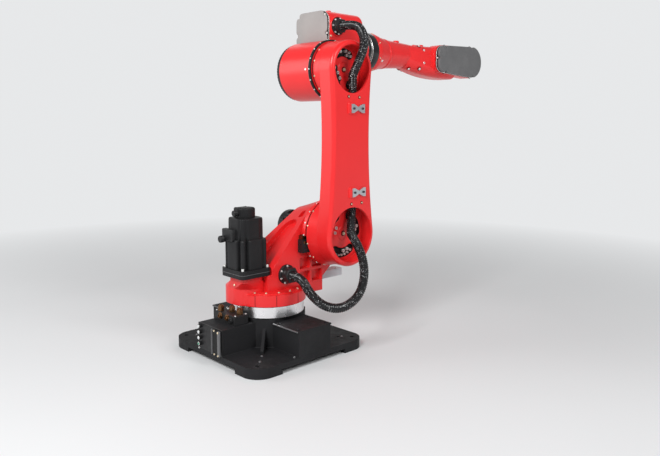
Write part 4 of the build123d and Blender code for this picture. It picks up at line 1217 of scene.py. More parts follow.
@dataclass
class Turret(Assembly):
    """Turret with its gland, limit block, shoulder motor and bumper.

    Args:
        shoulder: x and z of the shoulder axis.
        gland: x and z of the conduit's gland.
        gland_seat: y of the face that the gland sits on.
        disc_top: height of the disc's top.
        disc_radius: radius of the disc's wall.
        limit_face: y of the limit block's near face.
    """

    body: str = "turret"
    shoulder: Pair = SHOULDER
    gland: Pair = (0.018, 0.352)
    gland_seat: float = -0.1052
    disc_top: float = 0.2833
    disc_radius: float = 0.1708
    limit_face: float = -0.1377

    def disc(self) -> None:
        """Sets the screws on the disc and the motor boss and the seams in the disc's wall."""
        screw, screw_ring = 0.0048, 0.147
        on_top = ring_spots((0, 0, self.disc_top), 2, screw_ring, (208, 228, 250, 272, 294, 36, 58, 80))
        self.fasten("turret_disc_screws", "bolt_gold", screw, on_top)
        seam_half = 0.0245
        strip = moulded(rounded_box(0.0012, seam_half, 0.001), [(0, 0), (0, 0.0005), (0.0006, 0.0009)])
        seams = wall_spots((0, 0, 0.2523), 2, self.disc_radius, (212, 244, 282, 20, 66))
        self.piece("turret_disc_seams", "red_shadow", copies(strip, seams))
        boss = [((-0.1935, -0.009, 0.3205), (-1, 0, 0.15))]
        self.fasten("turret_boss_screws", "bolt_gold", screw, boss)

    def cable_gland(self) -> None:
        """Turns the gland: a screwed flange, a bell and a clamping nut round the conduit."""
        flange = [(0.0438, 0), (0.0438, 0.009), (0.042, 0.0115), (0.036, 0.012)]
        bell = [(0.0355, 0.020), (0.0345, 0.026)]
        nut = [(0.0325, 0.028), (0.0325, 0.044), (0.031, 0.047), (0.0215, 0.0478), (0.0212, 0.044)]
        x, z = self.gland
        seat = WorkPlane.facing((x, self.gland_seat, z), NEAR)
        shape = turned(flange + bell + nut, 72, hex_rows=(6, 7))
        self.piece("turret_gland_bell", "black_moulding", seat.place(shape), replaces="turret_gland")
        spots = ring_spots((x, -0.1165, z), 1, 0.0395, (93, 200, 296, 20, 150, 245))
        self.fasten("turret_gland_screws", "bolt_zinc", 0.0042, spots)

    def limit_switch(self) -> None:
        """Adds the contacts, the cover and the screws of the limit switch block."""
        cover_height = 0.003
        contact = WorkPlane.facing((0.118, self.limit_face, 0.489), NEAR)
        cap = WorkPlane.facing((0.120, -0.117, 0.519), UP)
        self.piece("limit_contacts", "brass_fitting", contact.place(pad(0.021, 0.006, 0.002, 0.001, 0.0015)),
                   cap.place(pad(0.020, 0.008, 0.002, 0.001, 0.003)))
        cover = WorkPlane.facing((0.120, self.limit_face, 0.464), NEAR)
        lid = pad(0.027, 0.018, 0.004, 0.002, cover_height)
        self.piece("limit_cover", "black_moulding", cover.place(lid))
        level = self.limit_face - cover_height
        near = [(0.140, level, 0.474), (0.140, level, 0.452), (0.101, level, 0.455)]
        self.fasten("limit_screws", "bolt_black", 0.004, facing_spots(NEAR, near))
        rear = [(0.0898, -0.120, z) for z in (0.452, 0.478)]
        self.fasten("limit_side_screws", "bolt_black", 0.0035, facing_spots(REAR, rear))

    def shoulder_joint(self) -> None:
        """Sets the screws of the shoulder seam and dresses the motor on the far side."""
        x, z = self.shoulder
        seam = wall_spots((x, -0.1302, z), 1, 0.1578, range(0, 360, 20))
        self.fasten("shoulder_seam_screws", "bolt_zinc", 0.0036, seam)
        corners = [(x + side_x * 0.049, 0.0603, z + side_z * 0.074) for side_x in SIDES for side_z in SIDES]
        self.fasten("shoulder_motor_screws", "bolt_zinc", 0.0055, facing_spots(FAR, corners))
        back = WorkPlane.facing((x, 0.1336, z), FAR)
        band = moulded(rippled(0.0742, 0.0006, ribs=36, columns=160),
                       [(0.006, 0), (0, 0.002), (0, 0.020), (0.006, 0.022)], close=False)
        self.piece("shoulder_motor_grip", "motor_black", back.place(band))
        sleeve = [(0.013, 0), (0.013, 0.008), (0.015, 0.009), (0.015, 0.020), (0.012, 0.022)]
        plug = turned([*sleeve, (0.010, 0.022), (0.010, 0.026), (0, 0.026)], 32)
        side = WorkPlane.facing((x - 0.0602, 0.096, z + 0.010), REAR)
        self.piece("shoulder_motor_plug", "black_moulding", side.place(plug))

    def front_bumper(self) -> None:
        """Fits a rubber face on the bumper and sets the screws that hold its arm."""
        face = WorkPlane.facing((0.3895, -0.056, 0.303), AHEAD)
        self.piece("bumper_face", "black_moulding", face.place(pad(0.025, 0.0175, 0.004, 0.002, 0.003)))
        top = [(x, y, 0.3212) for x in (0.285, 0.362) for y in (-0.044, -0.068)]
        self.fasten("bumper_screws", "bolt_zinc", 0.0045, facing_spots(UP, top))

    def build(self) -> None:
        """Builds every piece of the turret."""
        self.disc()
        self.cable_gland()
        self.limit_switch()
        self.shoulder_joint()
        self.front_bumper()


@dataclass
class WaistMotor(Assembly):
    """Servo motor that stands on the turret.

    Args:
        axis: x and y of the motor's axis.
        flange_top: height of its flange's top.
        step: height of the step between the wide and the narrow housing.
        top: height of the housing's top.
        cap_top: height of the cap's top.
        cap_radius: radius of the cap's round side.
        narrow_half: half width of the narrow housing.
    """

    body: str = "turret"
    axis: Pair = (-0.141, -0.023)
    flange_top: float = 0.396
    step: float = 0.526
    top: float = 0.618
    cap_top: float = 0.660
    cap_radius: float = 0.0415
    narrow_half: float = 0.062

    def housing(self) -> None:
        """Shapes the fluted housing: squarish rows with a groove on each side of every corner post."""
        x, y = self.axis
        wide, flute, thin = 0.0745, 0.019, 0.003
        levels = [(0, 0.0, self.flange_top), (wide, flute, self.flange_top), (wide, flute, 0.515),
                  (0.0738, flute, 0.522), (0.071, 0.016, self.step), (0.0625, 0.010, 0.5265),
                  (self.narrow_half, 0.008, 0.530), (self.narrow_half, 0.004, 0.545),
                  (self.narrow_half, thin, 0.560), (0.0615, thin, 0.610), (0.0595, thin, 0.6165),
                  (0.055, thin, self.top), (0, 0.0, self.top)]
        half, depth, height = np.array(levels).T
        grooves = [quarter * 90 + 45 + side * 12 for quarter in range(4) for side in SIDES]
        rows = lifted(lobed(half, depth, power=4.5, angles=grooves, width=4.6), height)
        self.piece("waist_motor_housing", "motor_black", rows + np.array([x, y, 0]), replaces="waist_motor")

    def flange(self) -> None:
        """Adds a lighter bead round the flange's joint, which paints the highlight along it, and the flange's
        corner bolts.
        """
        x, y = self.axis
        level = WorkPlane.facing((x, y, 0.3775), UP)
        line = level.outline(even_outline(rounded_box(0.0800, 0.0800, 0.020), 120))
        self.piece("waist_motor_joint_highlight", "edge_highlight_black", bead(line, UP, 0.0009, 0.0012))
        inset = 0.066
        bolts = [(x + side_x * inset, y + side_y * inset, self.flange_top)
                 for side_x in SIDES for side_y in SIDES]
        self.fasten("waist_motor_bolts", "bolt_zinc", 0.006, facing_spots(UP, bolts), Head.STUD)

    def cap(self) -> None:
        """Shapes the ribbed cap: round on the near side and square with cut corners on the far side.

        The far side is r(t) = min(R / sin t, max(min(a / |cos t|, b), R)), where a is the half width and b
        the corner radius.
        """
        half_width, corner, tiny = 0.033, 0.053, 1e-6
        turn = all_round(200)
        ribbed = self.cap_radius + 0.0006 * np.cos(40 * turn)
        square = half_width / np.maximum(np.abs(np.cos(turn)), tiny)
        far = np.minimum(self.cap_radius / np.maximum(np.sin(turn), tiny),
                         np.maximum(np.minimum(square, corner), self.cap_radius))
        outline = polar(np.where(np.sin(turn) > 0, far, ribbed), turn)
        level = WorkPlane.facing((*self.axis, self.top), UP)
        shell = moulded(outline, round_edge(0.007, self.cap_top - self.top, steps=7))
        self.piece("waist_motor_cap_shell", "motor_black", level.place(shell), replaces="waist_motor_cap")

    def connectors(self) -> None:
        """Turns the threaded connectors and the block that carries one of them."""
        y = self.axis[1]
        seat = WorkPlane.facing((-0.2035, y + 0.024, 0.5445), REAR)
        block = seat.place(pad(0.039, 0.026, 0.006, 0.004, 0.020))
        thread = [(0.0155 - 0.0012 * (row % 2), 0.010 + 0.0015 * row) for row in range(8)]
        foot, end = [(0.0145, 0), (0.0145, 0.008)], [(0.0148, 0.0235), (0.012, 0.0255), (0, 0.0255)]
        plug = turned(foot + thread + end, 40)
        side = WorkPlane.facing((-0.2235, y + 0.044, self.step), REAR).place(plug)
        slimmer = np.array([0.86, 0.86, 1.0])
        high = WorkPlane.facing((-0.1815, y, 0.639), REAR).place(plug * slimmer)
        self.piece("waist_motor_connectors", "black_moulding", block, side, high,
                   replaces="waist_motor_plugs")

    def build(self) -> None:
        """Builds every piece of the motor."""
        self.housing()
        self.flange()
        self.cap()
        self.connectors()


# Upper arm, elbow, forearm and wrist


@dataclass
class UpperArm(Assembly):
    """Upper arm with a bolted hub in each opening and two conduit clamps.

    Args:
        lower: x and z of the shoulder axis.
        upper: x and z of the elbow axis.
        low_face: y of the shoulder hub's front.
        high_face: y of the elbow hub's front.
        pocket_depth: depth of the hubs' pockets.
        pocket_sweep: degrees between the end centres of a pocket.
        pocket_wall: width over which a pocket's wall slopes.
        stud_sink: how far the pocket studs' feet stand over the pocket floor.
        near_wall: y of the arm's near wall.
    """

    body: str = "upper_arm"
    lower: Pair = SHOULDER
    upper: Pair = ELBOW
    low_face: float = -0.2185
    high_face: float = -0.2205
    pocket_depth: float = 0.016
    pocket_sweep: float = 64.0
    pocket_wall: float = 0.003
    stud_sink: float = 0.0028
    near_wall: float = -0.2810

    def hub(self, name: str, centre: Pair, radius: float, face: float, back: float, first: float) -> None:
        """Shapes a hub with three arc pockets and lays a dark sheet in each, which paints the shade inside
        the pocket.

        The front is a height over the polar grid (r, t): h = -depth f(d), where f goes smoothly from 0 to 1
        across the pocket's wall. d is the distance from its edge, sqrt(r^2 + m^2 - 2 r m cos(e)) - w, with e
        how far t lies past the pocket's ends, m its middle radius and w its half width.

        Args:
            name: the CAD node that it stands for.
            centre: the hub's x and z.
            radius: the hub's radius.
            face: y of its front face.
            back: y of its back.
            first: direction of the first pocket in degrees.
        """
        middle, half, columns = 0.72 * radius, 0.17 * radius, 480
        outer, inner, wall = middle + half, middle - half, self.pocket_wall
        pockets = first + np.array([0, 120, 240])
        radii = np.concatenate([
            [radius - 0.002, radius - 0.005], np.linspace(outer + wall, outer - wall, 7),
            np.linspace(outer - 2 * wall, inner + 2 * wall, 20), np.linspace(inner + wall, inner - wall, 7),
            [0.046, 0.036],
        ])
        turn = all_round(columns)
        past = np.maximum(np.abs(between(turn, pockets)).min(axis=1) - math.radians(self.pocket_sweep / 2), 0)
        r = radii[:, None]
        away = np.sqrt(r**2 + middle**2 - 2 * r * middle * np.cos(past)) - half
        share = np.clip((wall / 2 - away) / wall, 0, 1)
        depth = -self.pocket_depth * share**2 * (3 - 2 * share)
        front = np.stack([r * np.cos(turn), r * np.sin(turn), depth], axis=-1)
        deep = face - back
        rim = turned([(0, deep), (radius, deep), (radius, -0.002)], columns)
        boss = turned([(0.033, 0.0), (0.032, 0.0004), (0.031, 0.0026), (0.029, 0.003), (0, 0.003)], columns)
        shape = WorkPlane.facing((centre[0], face, centre[1]), NEAR).place(np.concatenate([rim, front, boss]))
        self.piece(name + "_face", "red_enamel", shape, replaces=name, sharp=70)
        tall, play, floor_height = self.pocket_depth, 0.0008, 0.003
        profile = [(1, 0), (1, tall - 0.0010), (0.95, tall - play), (0.92, floor_height), (0, floor_height)]
        # Dark sheets on the pocket floors and walls: painted shade inside the pockets
        floor = WorkPlane.facing((centre[0], face + self.pocket_depth, centre[1]), NEAR)
        shade_sheets = [floor.place(arc_shade_sheet(middle, 2 * half - play, pocket, self.pocket_sweep, profile))
                  for pocket in pockets]
        self.piece(name + "_pocket_shade", "seal_and_shade_black", *shade_sheets)

    def studs(self, name: str, centre: Pair, level: float, size: float, places: Profile) -> None:
        """Stands screws at one level of a hub; each place is a radius and a direction in degrees."""
        spots = [spot for radius, turn in places
                 for spot in ring_spots((centre[0], level, centre[1]), 1, radius, (turn,))]
        self.fasten(name, "bolt_zinc", size, spots, Head.STUD)

    def hubs(self) -> None:
        """Builds both hubs with the screws in their pockets, on their webs and on their bosses."""
        low, high = self.low_face, self.high_face
        low_floor, high_floor = (face + self.pocket_depth - self.stud_sink for face in (low, high))
        low_web, high_web = (face + 0.009 - self.stud_sink for face in (low, high))
        self.hub("shoulder_hub", self.lower, 0.1247, low, back=-0.160, first=-90)
        self.hub("elbow_hub", self.upper, 0.1057, high, back=-0.173, first=90)
        row = [(0.1020, turn) for turn in (-112, -101, -90, -79, -68, -57)]
        self.studs("shoulder_hub_row", self.lower, low_floor, 0.0056, row)
        large = [(0.083, turn) for turn in (-84, -67, 140, 156, 172, 48, 36, 22, 6)] + [(0.098, 14)]
        self.studs("shoulder_hub_studs", self.lower, low_floor, 0.0078, large)
        top = [(0.086, 76), (0.070, 67), (0.088, 61), (0.080, 50), (0.080, 98), (0.078, 113)]
        sides = [(0.068, 178), (0.066, 200), (0.067, 222), (0.080, -32), (0.078, -50)]
        self.studs("elbow_hub_studs", self.upper, high_floor, 0.0070, top + sides)
        self.studs("shoulder_web_studs", self.lower, low_web, 0.0074, [(0.050, 172), (0.052, 146)])
        web = [(0.0576, 174), (0.0400, 202), (0.0454, 237)]
        self.studs("elbow_web_studs", self.upper, high_web, 0.0074, web)
        # Dark sheet on the web face: painted shade of the recess round the web studs
        recess = arc_shade_sheet(0.050, 0.030, 205, 62, [(1, 0), (1, 0.0006), (0.92, 0.0010), (0, 0.0010)])
        self.piece("elbow_web_recess_shade", "seal_and_shade_black",
                   WorkPlane.facing((self.upper[0], high, self.upper[1]), NEAR).place(recess))
        boss = 0.0028
        middles = [(x, face - boss, z) for (x, z), face in ((self.lower, low), (self.upper, high))]
        centres = facing_spots(NEAR, middles)
        # Dark red discs round the centre screws: painted shade of their wells
        self.fasten("hub_centre_well_shade", "red_shadow", 0.0125, centres, Head.WELL_SHADE, 32)
        self.fasten("hub_centre_screws", "bolt_gold", 0.0070, centres, columns=24)

    def clamps(self) -> None:
        """Sets the screws of the two clamps, the red pads beside them and the plugged holes near them."""
        middles = ((0.298, 0.715), (0.290, 1.090))
        screws = [(x + side * 0.027, -0.2898, z) for x, z in middles for side in SIDES]
        self.fasten("clamp_screws", "bolt_black", 0.0052, facing_spots(NEAR, screws))
        pads = facing_spots(NEAR, [(x - 0.040, self.near_wall, z) for x, z in middles])
        self.piece("clamp_pads", "red_enamel", copies(pad(0.018, 0.025, 0.006, 0.004, 0.0055), pads))
        holes = [(0.237, 1.142), (0.304, 1.140), (0.256, 0.664), (0.322, 0.665)]
        places = facing_spots(NEAR, [(x, self.near_wall, z) for x, z in holes])
        # Dark red discs round the plugs: painted shade of the holes
        self.fasten("arm_hole_shade", "red_shadow", 0.0075, places, Head.WELL_SHADE, 24)
        self.fasten("arm_hole_plugs", "bolt_gold", 0.0038, places)

    def seams(self) -> None:
        """Sets small screws round both seams of the arm."""
        x, z = self.upper
        high = wall_spots((x, -0.166, z), 1, 0.1258, (52, 90, 138, 164, 194, 222, 250))
        x, z = self.lower
        low = wall_spots((x, -0.1495, z), 1, 0.1568, (138, 164, 194, 222, 250, 278, 306, 334, 0))
        self.fasten("arm_seam_screws", "bolt_gold", 0.0038, high + low)

    def build(self) -> None:
        """Builds every piece of the upper arm."""
        self.hubs()
        self.clamps()
        self.seams()


@dataclass
class Elbow(Assembly):
    """Elbow casting with its covers, gland and screws.

    Args:
        axis: x and z of the elbow axis.
        low: height of the rear cover's foot.
        high: height of its top.
        half: its half width.
        cover_seat: x of the face that it lies on.
        gland: x and z of the conduit's gland.
        near_face: y of the roll housing's near face.
        drum_wall: radius at which the drum's trims start.
    """

    body: str = "elbow"
    axis: Pair = ELBOW
    low: float = 1.3993
    high: float = 1.540
    half: float = 0.107
    cover_seat: float = 0.2808
    gland: Pair = (0.335, 1.470)
    near_face: float = -0.1072
    drum_wall: float = 0.1358

    def rear_cover(self) -> None:
        """Moulds the rear cover with its screw notches, a pale bead between it and the gasket that paints the
        highlight on its edge, and dark discs that paint the shade in the notches.
        """
        middle, tall = (self.low + self.high) / 2, (self.high - self.low) / 2
        plane = WorkPlane.facing((self.cover_seat, 0, middle), REAR)
        corners = [(self.half, tall), (-self.half, tall), (-self.half, -tall), (self.half, -tall)]
        outline = even_outline(rounded_corners(corners, (0.046, 0.046, 0.003, 0.003)), 480)
        notches = [(side * u, z - middle) for side in SIDES for u, z in ((0.093, 1.527), (0.107, 1.436))]
        shift = notches_in(outline, notches, depth=0.013, width=0.009)
        self.framed_cover("rear_cover", "pale_cover", plane, outline, shift, round_edge(0.002, 0.0040))
        # Pale bead along the cover's edge: painted highlight
        rim = plane.outline(outline * np.array([0.992, 0.99]), -0.0012)
        self.piece("rear_cover_rim_highlight", "bolt_zinc", bead(rim, REAR, 0.0012, 0.0012))
        sink, share, drop = 0.0004, 0.93, 0.006
        inner = [(self.cover_seat + sink, -u * share, z + middle - (drop if z > 0 else 0.0))
                 for u, z in notches]
        spots = facing_spots(REAR, inner)
        self.fasten("rear_cover_screws", "bolt_zinc", 0.0052, spots, Head.STUD)
        # Dark discs round the screws: painted shade in the notches
        self.fasten("rear_cover_notch_shade", "seal_and_shade_black", 0.0085, spots, Head.WELL_SHADE, 24)

    def cable_gland(self) -> None:
        """Turns the gland and the red lip that it sits in, and sets the screw below it."""
        x, z = self.gland
        seat = WorkPlane.facing((x, self.near_face, z), NEAR)
        flange = [(0.0392, 0), (0.0392, 0.007), (0.038, 0.009), (0.033, 0.0095)]
        bell = [(0.032, 0.018), (0.030, 0.020)]
        nut = [(0.030, 0.030), (0.0285, 0.033), (0.0215, 0.0338), (0.0212, 0.030)]
        shape = turned(flange + bell + nut, 72, hex_rows=(6, 7))
        self.piece("elbow_gland_bell", "black_moulding", seat.place(shape), replaces="elbow_gland")
        outer, crest, inner = 0.0475, 0.006, 0.0402
        lip = [(outer, -0.002), (outer, 0.003), (0.0455, crest), (0.0425, crest),
               (inner, 0.003), (inner, -0.002)]
        self.piece("elbow_gland_lip", "red_enamel", seat.place(turned(lip, 72)))
        spots = ring_spots((x, -0.1162, z), 1, 0.0355, (78, 178, 232, 268, 20, 128))
        self.fasten("elbow_gland_screws", "bolt_zinc", 0.0042, spots)
        below = facing_spots(NEAR, [(0.292, self.near_face, 1.424)])
        self.fasten("elbow_side_screw", "bolt_gold", 0.0048, below)

    def drum(self) -> None:
        """Sets the drum's screws, shapes the end cap's ribbed rim and lays the dark band round the seam, with
        a lighter trim that paints the highlight on its edge.
        """
        x, z = self.axis
        round_wall = wall_spots((x, -0.122, z), 1, self.drum_wall, (180, 0, 270))
        self.fasten("elbow_drum_screw", "bolt_zinc", 0.0048, round_wall)
        plane = WorkPlane.facing((x, 0.0642, z), FAR)
        dish = 0.0235
        rows = [(0, 0), (0, 0.0195), (0.002, dish), (0.008, 0.0265), (0.030, 0.0268), (0.034, dish),
                (0.080, dish)]
        cap = moulded(rippled(0.1318, 0.0007, ribs=60, columns=240), rows)
        self.piece("elbow_end_cap_shell", "black_moulding", plane.place(cap), replaces="elbow_end_cap")
        ring = ring_spots((x, 0.0907, z), 1, 0.112, range(15, 375, 45))
        screws = facing_spots(FAR, [point for point, _ in ring])
        self.fasten("elbow_end_cap_screws", "bolt_zinc", 0.005, screws)
        end = WorkPlane.facing((x, -0.1512, z), FAR)
        crest = 0.1366
        band = [(0.130, 0), (0.1362, 0), (crest, 0.001), (crest, 0.0115), (self.drum_wall, 0.0122)]
        self.piece("elbow_drum_band", "seal_and_shade_black", end.place(turned(band, 144)))
        # Lighter trim at the band's edge: painted highlight
        trim = [(self.drum_wall, 0.0116), (0.1370, 0.0119), (0.1370, 0.0130), (self.drum_wall, 0.0134)]
        self.piece("elbow_drum_highlight_trim", "edge_highlight_black", end.place(turned(trim, 144)))
        seam = wall_spots((x, -0.1450, z), 1, 0.1364, range(0, 360, 20))
        self.fasten("elbow_seam_screws", "bolt_zinc", 0.0030, seam)

    def housing(self) -> None:
        """Adds the lifting bosses and screws on the roll housing."""
        rear, front, half = 0.330, 0.372, 0.052
        bosses = [(rear, side * half, self.high) for side in SIDES]
        self.fasten("housing_bosses", "red_enamel", 0.012, facing_spots(UP, bosses), Head.BOSS, 32)
        screws = [(front, side * half, self.high) for side in SIDES]
        self.fasten("housing_screws", "bolt_gold", 0.0048, facing_spots(UP, screws))
        nose = [(0.5222, side * 0.084, z) for side in SIDES for z in (1.425, 1.490)]
        self.fasten("housing_front_screws", "bolt_gold", 0.005, facing_spots(AHEAD, nose))

    def roll_band(self) -> None:
        """Turns the black ring of the roll joint, the slot in it and the pale trims beside the slot, which
        paint the highlights on its edges.
        """
        along = WorkPlane.facing((0.560, 0, ROLL_Z), AHEAD)
        crest, columns = 0.0972, 120
        grip = [(0.090, 0.0005), (0.0960, 0.0005), (crest, 0.003), (crest, 0.0205), (0.0962, 0.022)]
        rest = [(0.0962, 0.028), (crest, 0.0295), (crest, 0.071), (0.0960, 0.0745), (0.090, 0.0752)]
        shells = [along.place(turned(profile, columns)) for profile in (grip, rest)]
        self.piece("roll_band_shell", "gloss_black", *shells, replaces="roll_band")
        slot = turned([(0.0958, 0.0215), (0.0958, 0.0285)], columns)
        self.piece("roll_band_slot", "seal_and_shade_black", along.place(slot))
        # Pale trims beside the slot: painted highlights on its edges
        foot, top = 0.0966, 0.0975
        trims = [turned([(foot, h), (top, h + 0.0006), (top, h + 0.0018), (foot, h + 0.0024)], columns)
                 for h in (0.0195, 0.0285)]
        self.piece("roll_band_highlight_trims", "bolt_zinc", *(along.place(trim) for trim in trims))

    def build(self) -> None:
        """Builds every piece of the elbow."""
        self.rear_cover()
        self.cable_gland()
        self.drum()
        self.housing()
        self.roll_band()


@dataclass
class Forearm(Assembly):
    """Forearm casting with its bosses and the cover of the wrist arm.

    Args:
        axis_z: height of the roll axis.
        cover_seat: y of the face that the wrist cover lies on.
    """

    body: str = "forearm"
    axis_z: float = ROLL_Z
    cover_seat: float = -0.1092

    def screws(self) -> None:
        """Sets the screws of the tube on dark discs that paint the shade of their wells, each square to the
        casting.
        """
        root = ((0.667, -0.0835, 1.336), (0.2, -0.88, -0.46))
        near = [((0.994, -0.052, 1.432), (0, -0.47, 0.88)), ((1.010, -0.0735, 1.410), (0, -0.90, 0.44)),
                ((1.006, -0.0785, 1.344), NEAR), ((0.981, -0.0690, 1.313), (0, -0.81, -0.59)),
                ((0.927, -0.040, 1.3125), (0, -0.50, -0.87))]
        far = [((x, -y - 0.010, z), (nx, -ny, nz)) for (x, y, z), (nx, ny, nz) in near]
        # Dark red discs under the screws: painted shade of the wells
        self.fasten("forearm_well_shade", "red_shadow", 0.0112, near + far, Head.WELL_SHADE, 24)
        self.fasten("forearm_screws", "bolt_zinc", 0.0064, [*near, root, *far])
        collar = wall_spots((0.648, 0, self.axis_z), 0, 0.0958, range(20, 380, 45))
        self.fasten("collar_screws", "bolt_gold", 0.0040, collar)

    def bosses(self) -> None:
        """Raises the round bosses on top of the tube and the rib round its root."""
        low = Head.BOSS.row(0.016, [((0.868, 0.0, 1.4475), (0.03, 0, 1))], 40)
        high = Head.BOSS.row(0.021, [((1.060, -0.004, 1.4365), UP)], 40)
        knob = Head.BOSS.row(0.0135, [((0.998, -0.020, 1.4360), (0, -0.25, 0.97))], 32)
        self.piece("forearm_bosses", "red_enamel", low, high, knob)
        along = WorkPlane.facing((0.748, 0, self.axis_z), AHEAD)
        rib = [(0.0735, -0.010), (0.0768, -0.004), (0.0776, 0.003), (0.0768, 0.010), (0.0730, 0.018)]
        self.piece("forearm_root_rib", "red_enamel", along.place(turned(rib, 96)))

    def cover(self) -> None:
        """Moulds the wrist cover with its screw notches, its pale rim that paints the highlight on its edge,
        dark discs that paint the shade in the notches, and its screws.
        """
        corners = [(1.076, 1.302), (1.468, 1.274), (1.468, 1.454), (1.076, 1.440)]
        outline = even_outline(rounded_corners(corners, (0.046, 0.084, 0.084, 0.046)), 720)
        notches = [(1.139, 1.442), (1.379, 1.451), (1.076, 1.373), (1.137, 1.298), (1.387, 1.280)]
        shift = notches_in(outline, notches, depth=0.011, width=0.008)
        plane = WorkPlane.facing((0, self.cover_seat, 0), NEAR)
        edge = round_edge(0.004, 0.0130, steps=6)
        self.framed_cover("wrist_cover", "grey_cover", plane, outline, shift, edge)
        # Pale bead along the cover's edge: painted highlight
        rim = plane.outline(outline, 0.0006)
        self.piece("wrist_cover_rim_highlight", "bolt_zinc", bead(rim, NEAR, 0.0012, 0.0012))
        middle, sink = np.array([1.272, 1.366]), 0.0035
        inner = [notch + (middle - notch) / np.linalg.norm(middle - notch) * sink
                 for notch in np.array(notches)]
        spots = facing_spots(NEAR, [(x, self.cover_seat, z) for x, z in inner])
        # Dark discs round the screws: painted shade in the notches
        self.fasten("wrist_cover_notch_shade", "seal_and_shade_black", 0.0080, spots, Head.WELL_SHADE, 24)
        self.fasten("wrist_cover_screws", "bolt_zinc", 0.0050, spots, Head.STUD)

    def build(self) -> None:
        """Builds every piece of the forearm."""
        self.screws()
        self.bosses()
        self.cover()


@dataclass
class Wrist(Assembly):
    """Wrist housing with its end cover and screws.

    Args:
        centre: x and z of the bend axis.
    """

    body: str = "wrist"
    centre: Pair = (1.380, ROLL_Z)

    def build(self) -> None:
        """Builds the end cover on the far side and the screws above the tool flange."""
        x, z = self.centre
        plane = WorkPlane.facing((x, 0.0418, z), FAR)
        lid = [(0.0415, 0), (0.0415, 0.003), (0.039, 0.005), (0.020, 0.0055), (0.018, 0.004), (0, 0.004)]
        self.piece("wrist_end_cover", "grey_cover", plane.place(turned(lid, 72)))
        ring = ring_spots((x, 0.0470, z), 1, 0.032, range(30, 390, 60))
        self.fasten("wrist_end_screws", "bolt_zinc", 0.0036, facing_spots(FAR, [point for point, _ in ring]))
        low = [((x + side * 0.0402, y, z - 0.058), (side, 0, 0)) for side in SIDES for y in (-0.026, 0.026)]
        self.fasten("wrist_side_screws", "bolt_gold", 0.0040, low)


# Studio


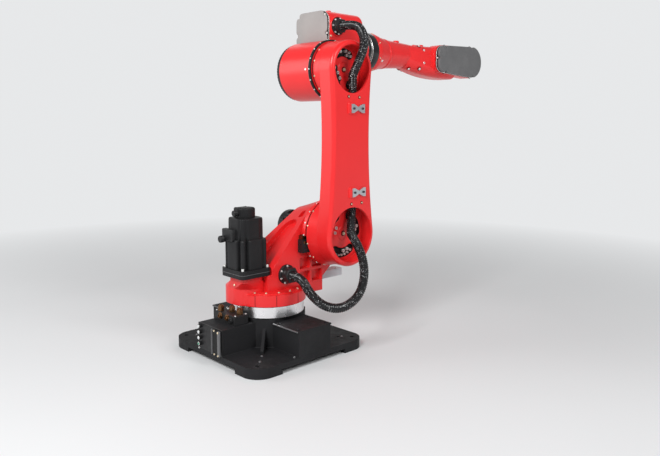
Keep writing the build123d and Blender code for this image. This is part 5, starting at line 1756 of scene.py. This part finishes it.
@dataclass
class Studio:
    """Camera at the photograph's view, pale floor and soft lights.

    Args:
        eye: the camera's place.
        ahead: unit direction it looks in.
        lens: focal length for a 36 mm wide sensor.
        shift: how far the view is shifted up, as a share of the image width.
        floor_tone: colour of the floor near the arm.
        sky_tone: colour of the backdrop, which the floor fades to.
        fill: strength of the even light from all sides.
        gloss: strength of what shiny surfaces mirror.
        lights: each soft light's name, place, target, size and power in watts.
    """

    eye: Point = (-1.8520, -2.3759, 1.0385)
    ahead: Point = (0.6820, 0.7230, -0.1101)
    lens: float = 36.346
    shift: float = -0.0515
    floor_tone: Colour = (0.78, 0.79, 0.80)
    sky_tone: Colour = (0.80, 0.81, 0.82)
    fill: float = 0.24
    gloss: float = 0.28
    lights: Sequence[tuple[str, Point, Point, float, float]] = (
        ("key", (-3.2, -1.6, 3.2), (0.2, -0.1, 0.9), 1.6, 155.0),
        ("front", (0.6, -3.6, 2.6), (0.4, -0.1, 0.9), 1.2, 50.0),
        ("left_back", (-2.8, 2.8, 2.2), (0.2, 0.0, 0.9), 2.4, 52.0),
        ("right_back", (2.6, 2.6, 3.2), (0.3, 0.0, 0.8), 3.0, 22.0),
    )

    def camera(self) -> None:
        """Makes the camera."""
        lens = bpy.data.cameras.new("camera")
        lens.sensor_width = 36.0
        lens.sensor_fit = "HORIZONTAL"
        lens.lens = self.lens
        lens.shift_y = self.shift
        lens.clip_end = 60.0
        holder = stand("camera", lens)
        holder.location = self.eye
        holder.rotation_euler = Vector(self.ahead).to_track_quat("-Z", "Y").to_euler()
        bpy.context.scene.camera = holder

    def panel(self, name: str, place: Point, target: Point, size: float, watts: float) -> None:
        """Adds a square soft light that looks at a point.

        Args:
            name: the light's name.
            place: where it stands.
            target: the point that it looks at.
            size: its side.
            watts: its power.
        """
        light = bpy.data.lights.new(name, "AREA")
        light.size = size
        light.energy = watts
        holder = stand(name, light)
        holder.location = place
        holder.rotation_euler = (Vector(target) - Vector(place)).to_track_quat("-Z", "Y").to_euler()

    def floor(self) -> None:
        """Lays a round floor that takes shadows near the arm and fades to the plain backdrop further out."""
        fade_start, fade_end, edge = 1.6, 4.2, 30
        mesh = Shell("floor").add(turned([(0, 0), (2, 0), (5, 0), (edge, 0)], 96)).mesh()
        bench = Bench("pale_floor")
        cloud = bench.spread(bench.noise(scale=0.6, detail=3.0), 0, 1)
        low = tuple(share * 0.97 for share in self.floor_tone)
        bench.wear(Base_Color=bench.blend(cloud, self.floor_tone, low), Roughness=0.75)
        glow = bench.node("ShaderNodeEmission", {"Color": (*self.sky_tone, 1.0)})
        reach = bench.node("ShaderNodeVectorMath", {0: bench.where.outputs["Object"]}, operation="LENGTH")
        far = bench.spread(reach.outputs["Value"], 0, 1, fade_start, fade_end)
        mix = bench.node("ShaderNodeMixShader", {0: far, 1: bench.surface.outputs[0], 2: glow.outputs[0]})
        bench.feed(bench.tree.nodes["Material Output"].inputs["Surface"], mix.outputs[0])
        mesh.materials.append(bench.material)
        stand("floor", mesh)

    def sky(self) -> None:
        """Makes the world: a plain backdrop for the camera, a softer one for gloss, and a low even light."""
        world = bpy.data.worlds.new("studio")
        world.use_nodes = True
        tree = world.node_tree
        path = tree.nodes.new("ShaderNodeLightPath")
        white = (1, 1, 1)
        shades = []
        for colour, strength in ((white, self.fill), (white, self.gloss), (self.sky_tone, 1.0)):
            shade = tree.nodes.new("ShaderNodeBackground")
            shade.inputs["Color"].default_value = (*colour, 1)
            shade.inputs["Strength"].default_value = strength
            shades.append(shade.outputs[0])
        result = shades[0]
        for ray, other in (("Is Glossy Ray", shades[1]), ("Is Camera Ray", shades[2])):
            mix = tree.nodes.new("ShaderNodeMixShader")
            tree.links.new(path.outputs[ray], mix.inputs["Fac"])
            tree.links.new(result, mix.inputs[1])
            tree.links.new(other, mix.inputs[2])
            result = mix.outputs[0]
        tree.links.new(result, tree.nodes["World Output"].inputs["Surface"])
        bpy.context.scene.world = world

    def build(self) -> None:
        """Sets the view transform and builds the whole studio."""
        bpy.context.scene.view_settings.view_transform = "Standard"
        self.camera()
        self.floor()
        self.sky()
        for light in self.lights:
            self.panel(*light)


def main() -> None:
    """Builds the looks in order."""
    logging.basicConfig(level=logging.INFO, format="%(name)s %(message)s")
    for old in list(bpy.data.objects):
        bpy.data.objects.remove(old)
    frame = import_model()
    Studio().build()
    finishes = Finishes()
    finishes.dress(frame)
    for kind in (Base, Turret, WaistMotor, UpperArm, Elbow, Forearm, Wrist):
        kind(finishes).build()
    Conduit(finishes).build()


if __name__ == "__main__":
    main()
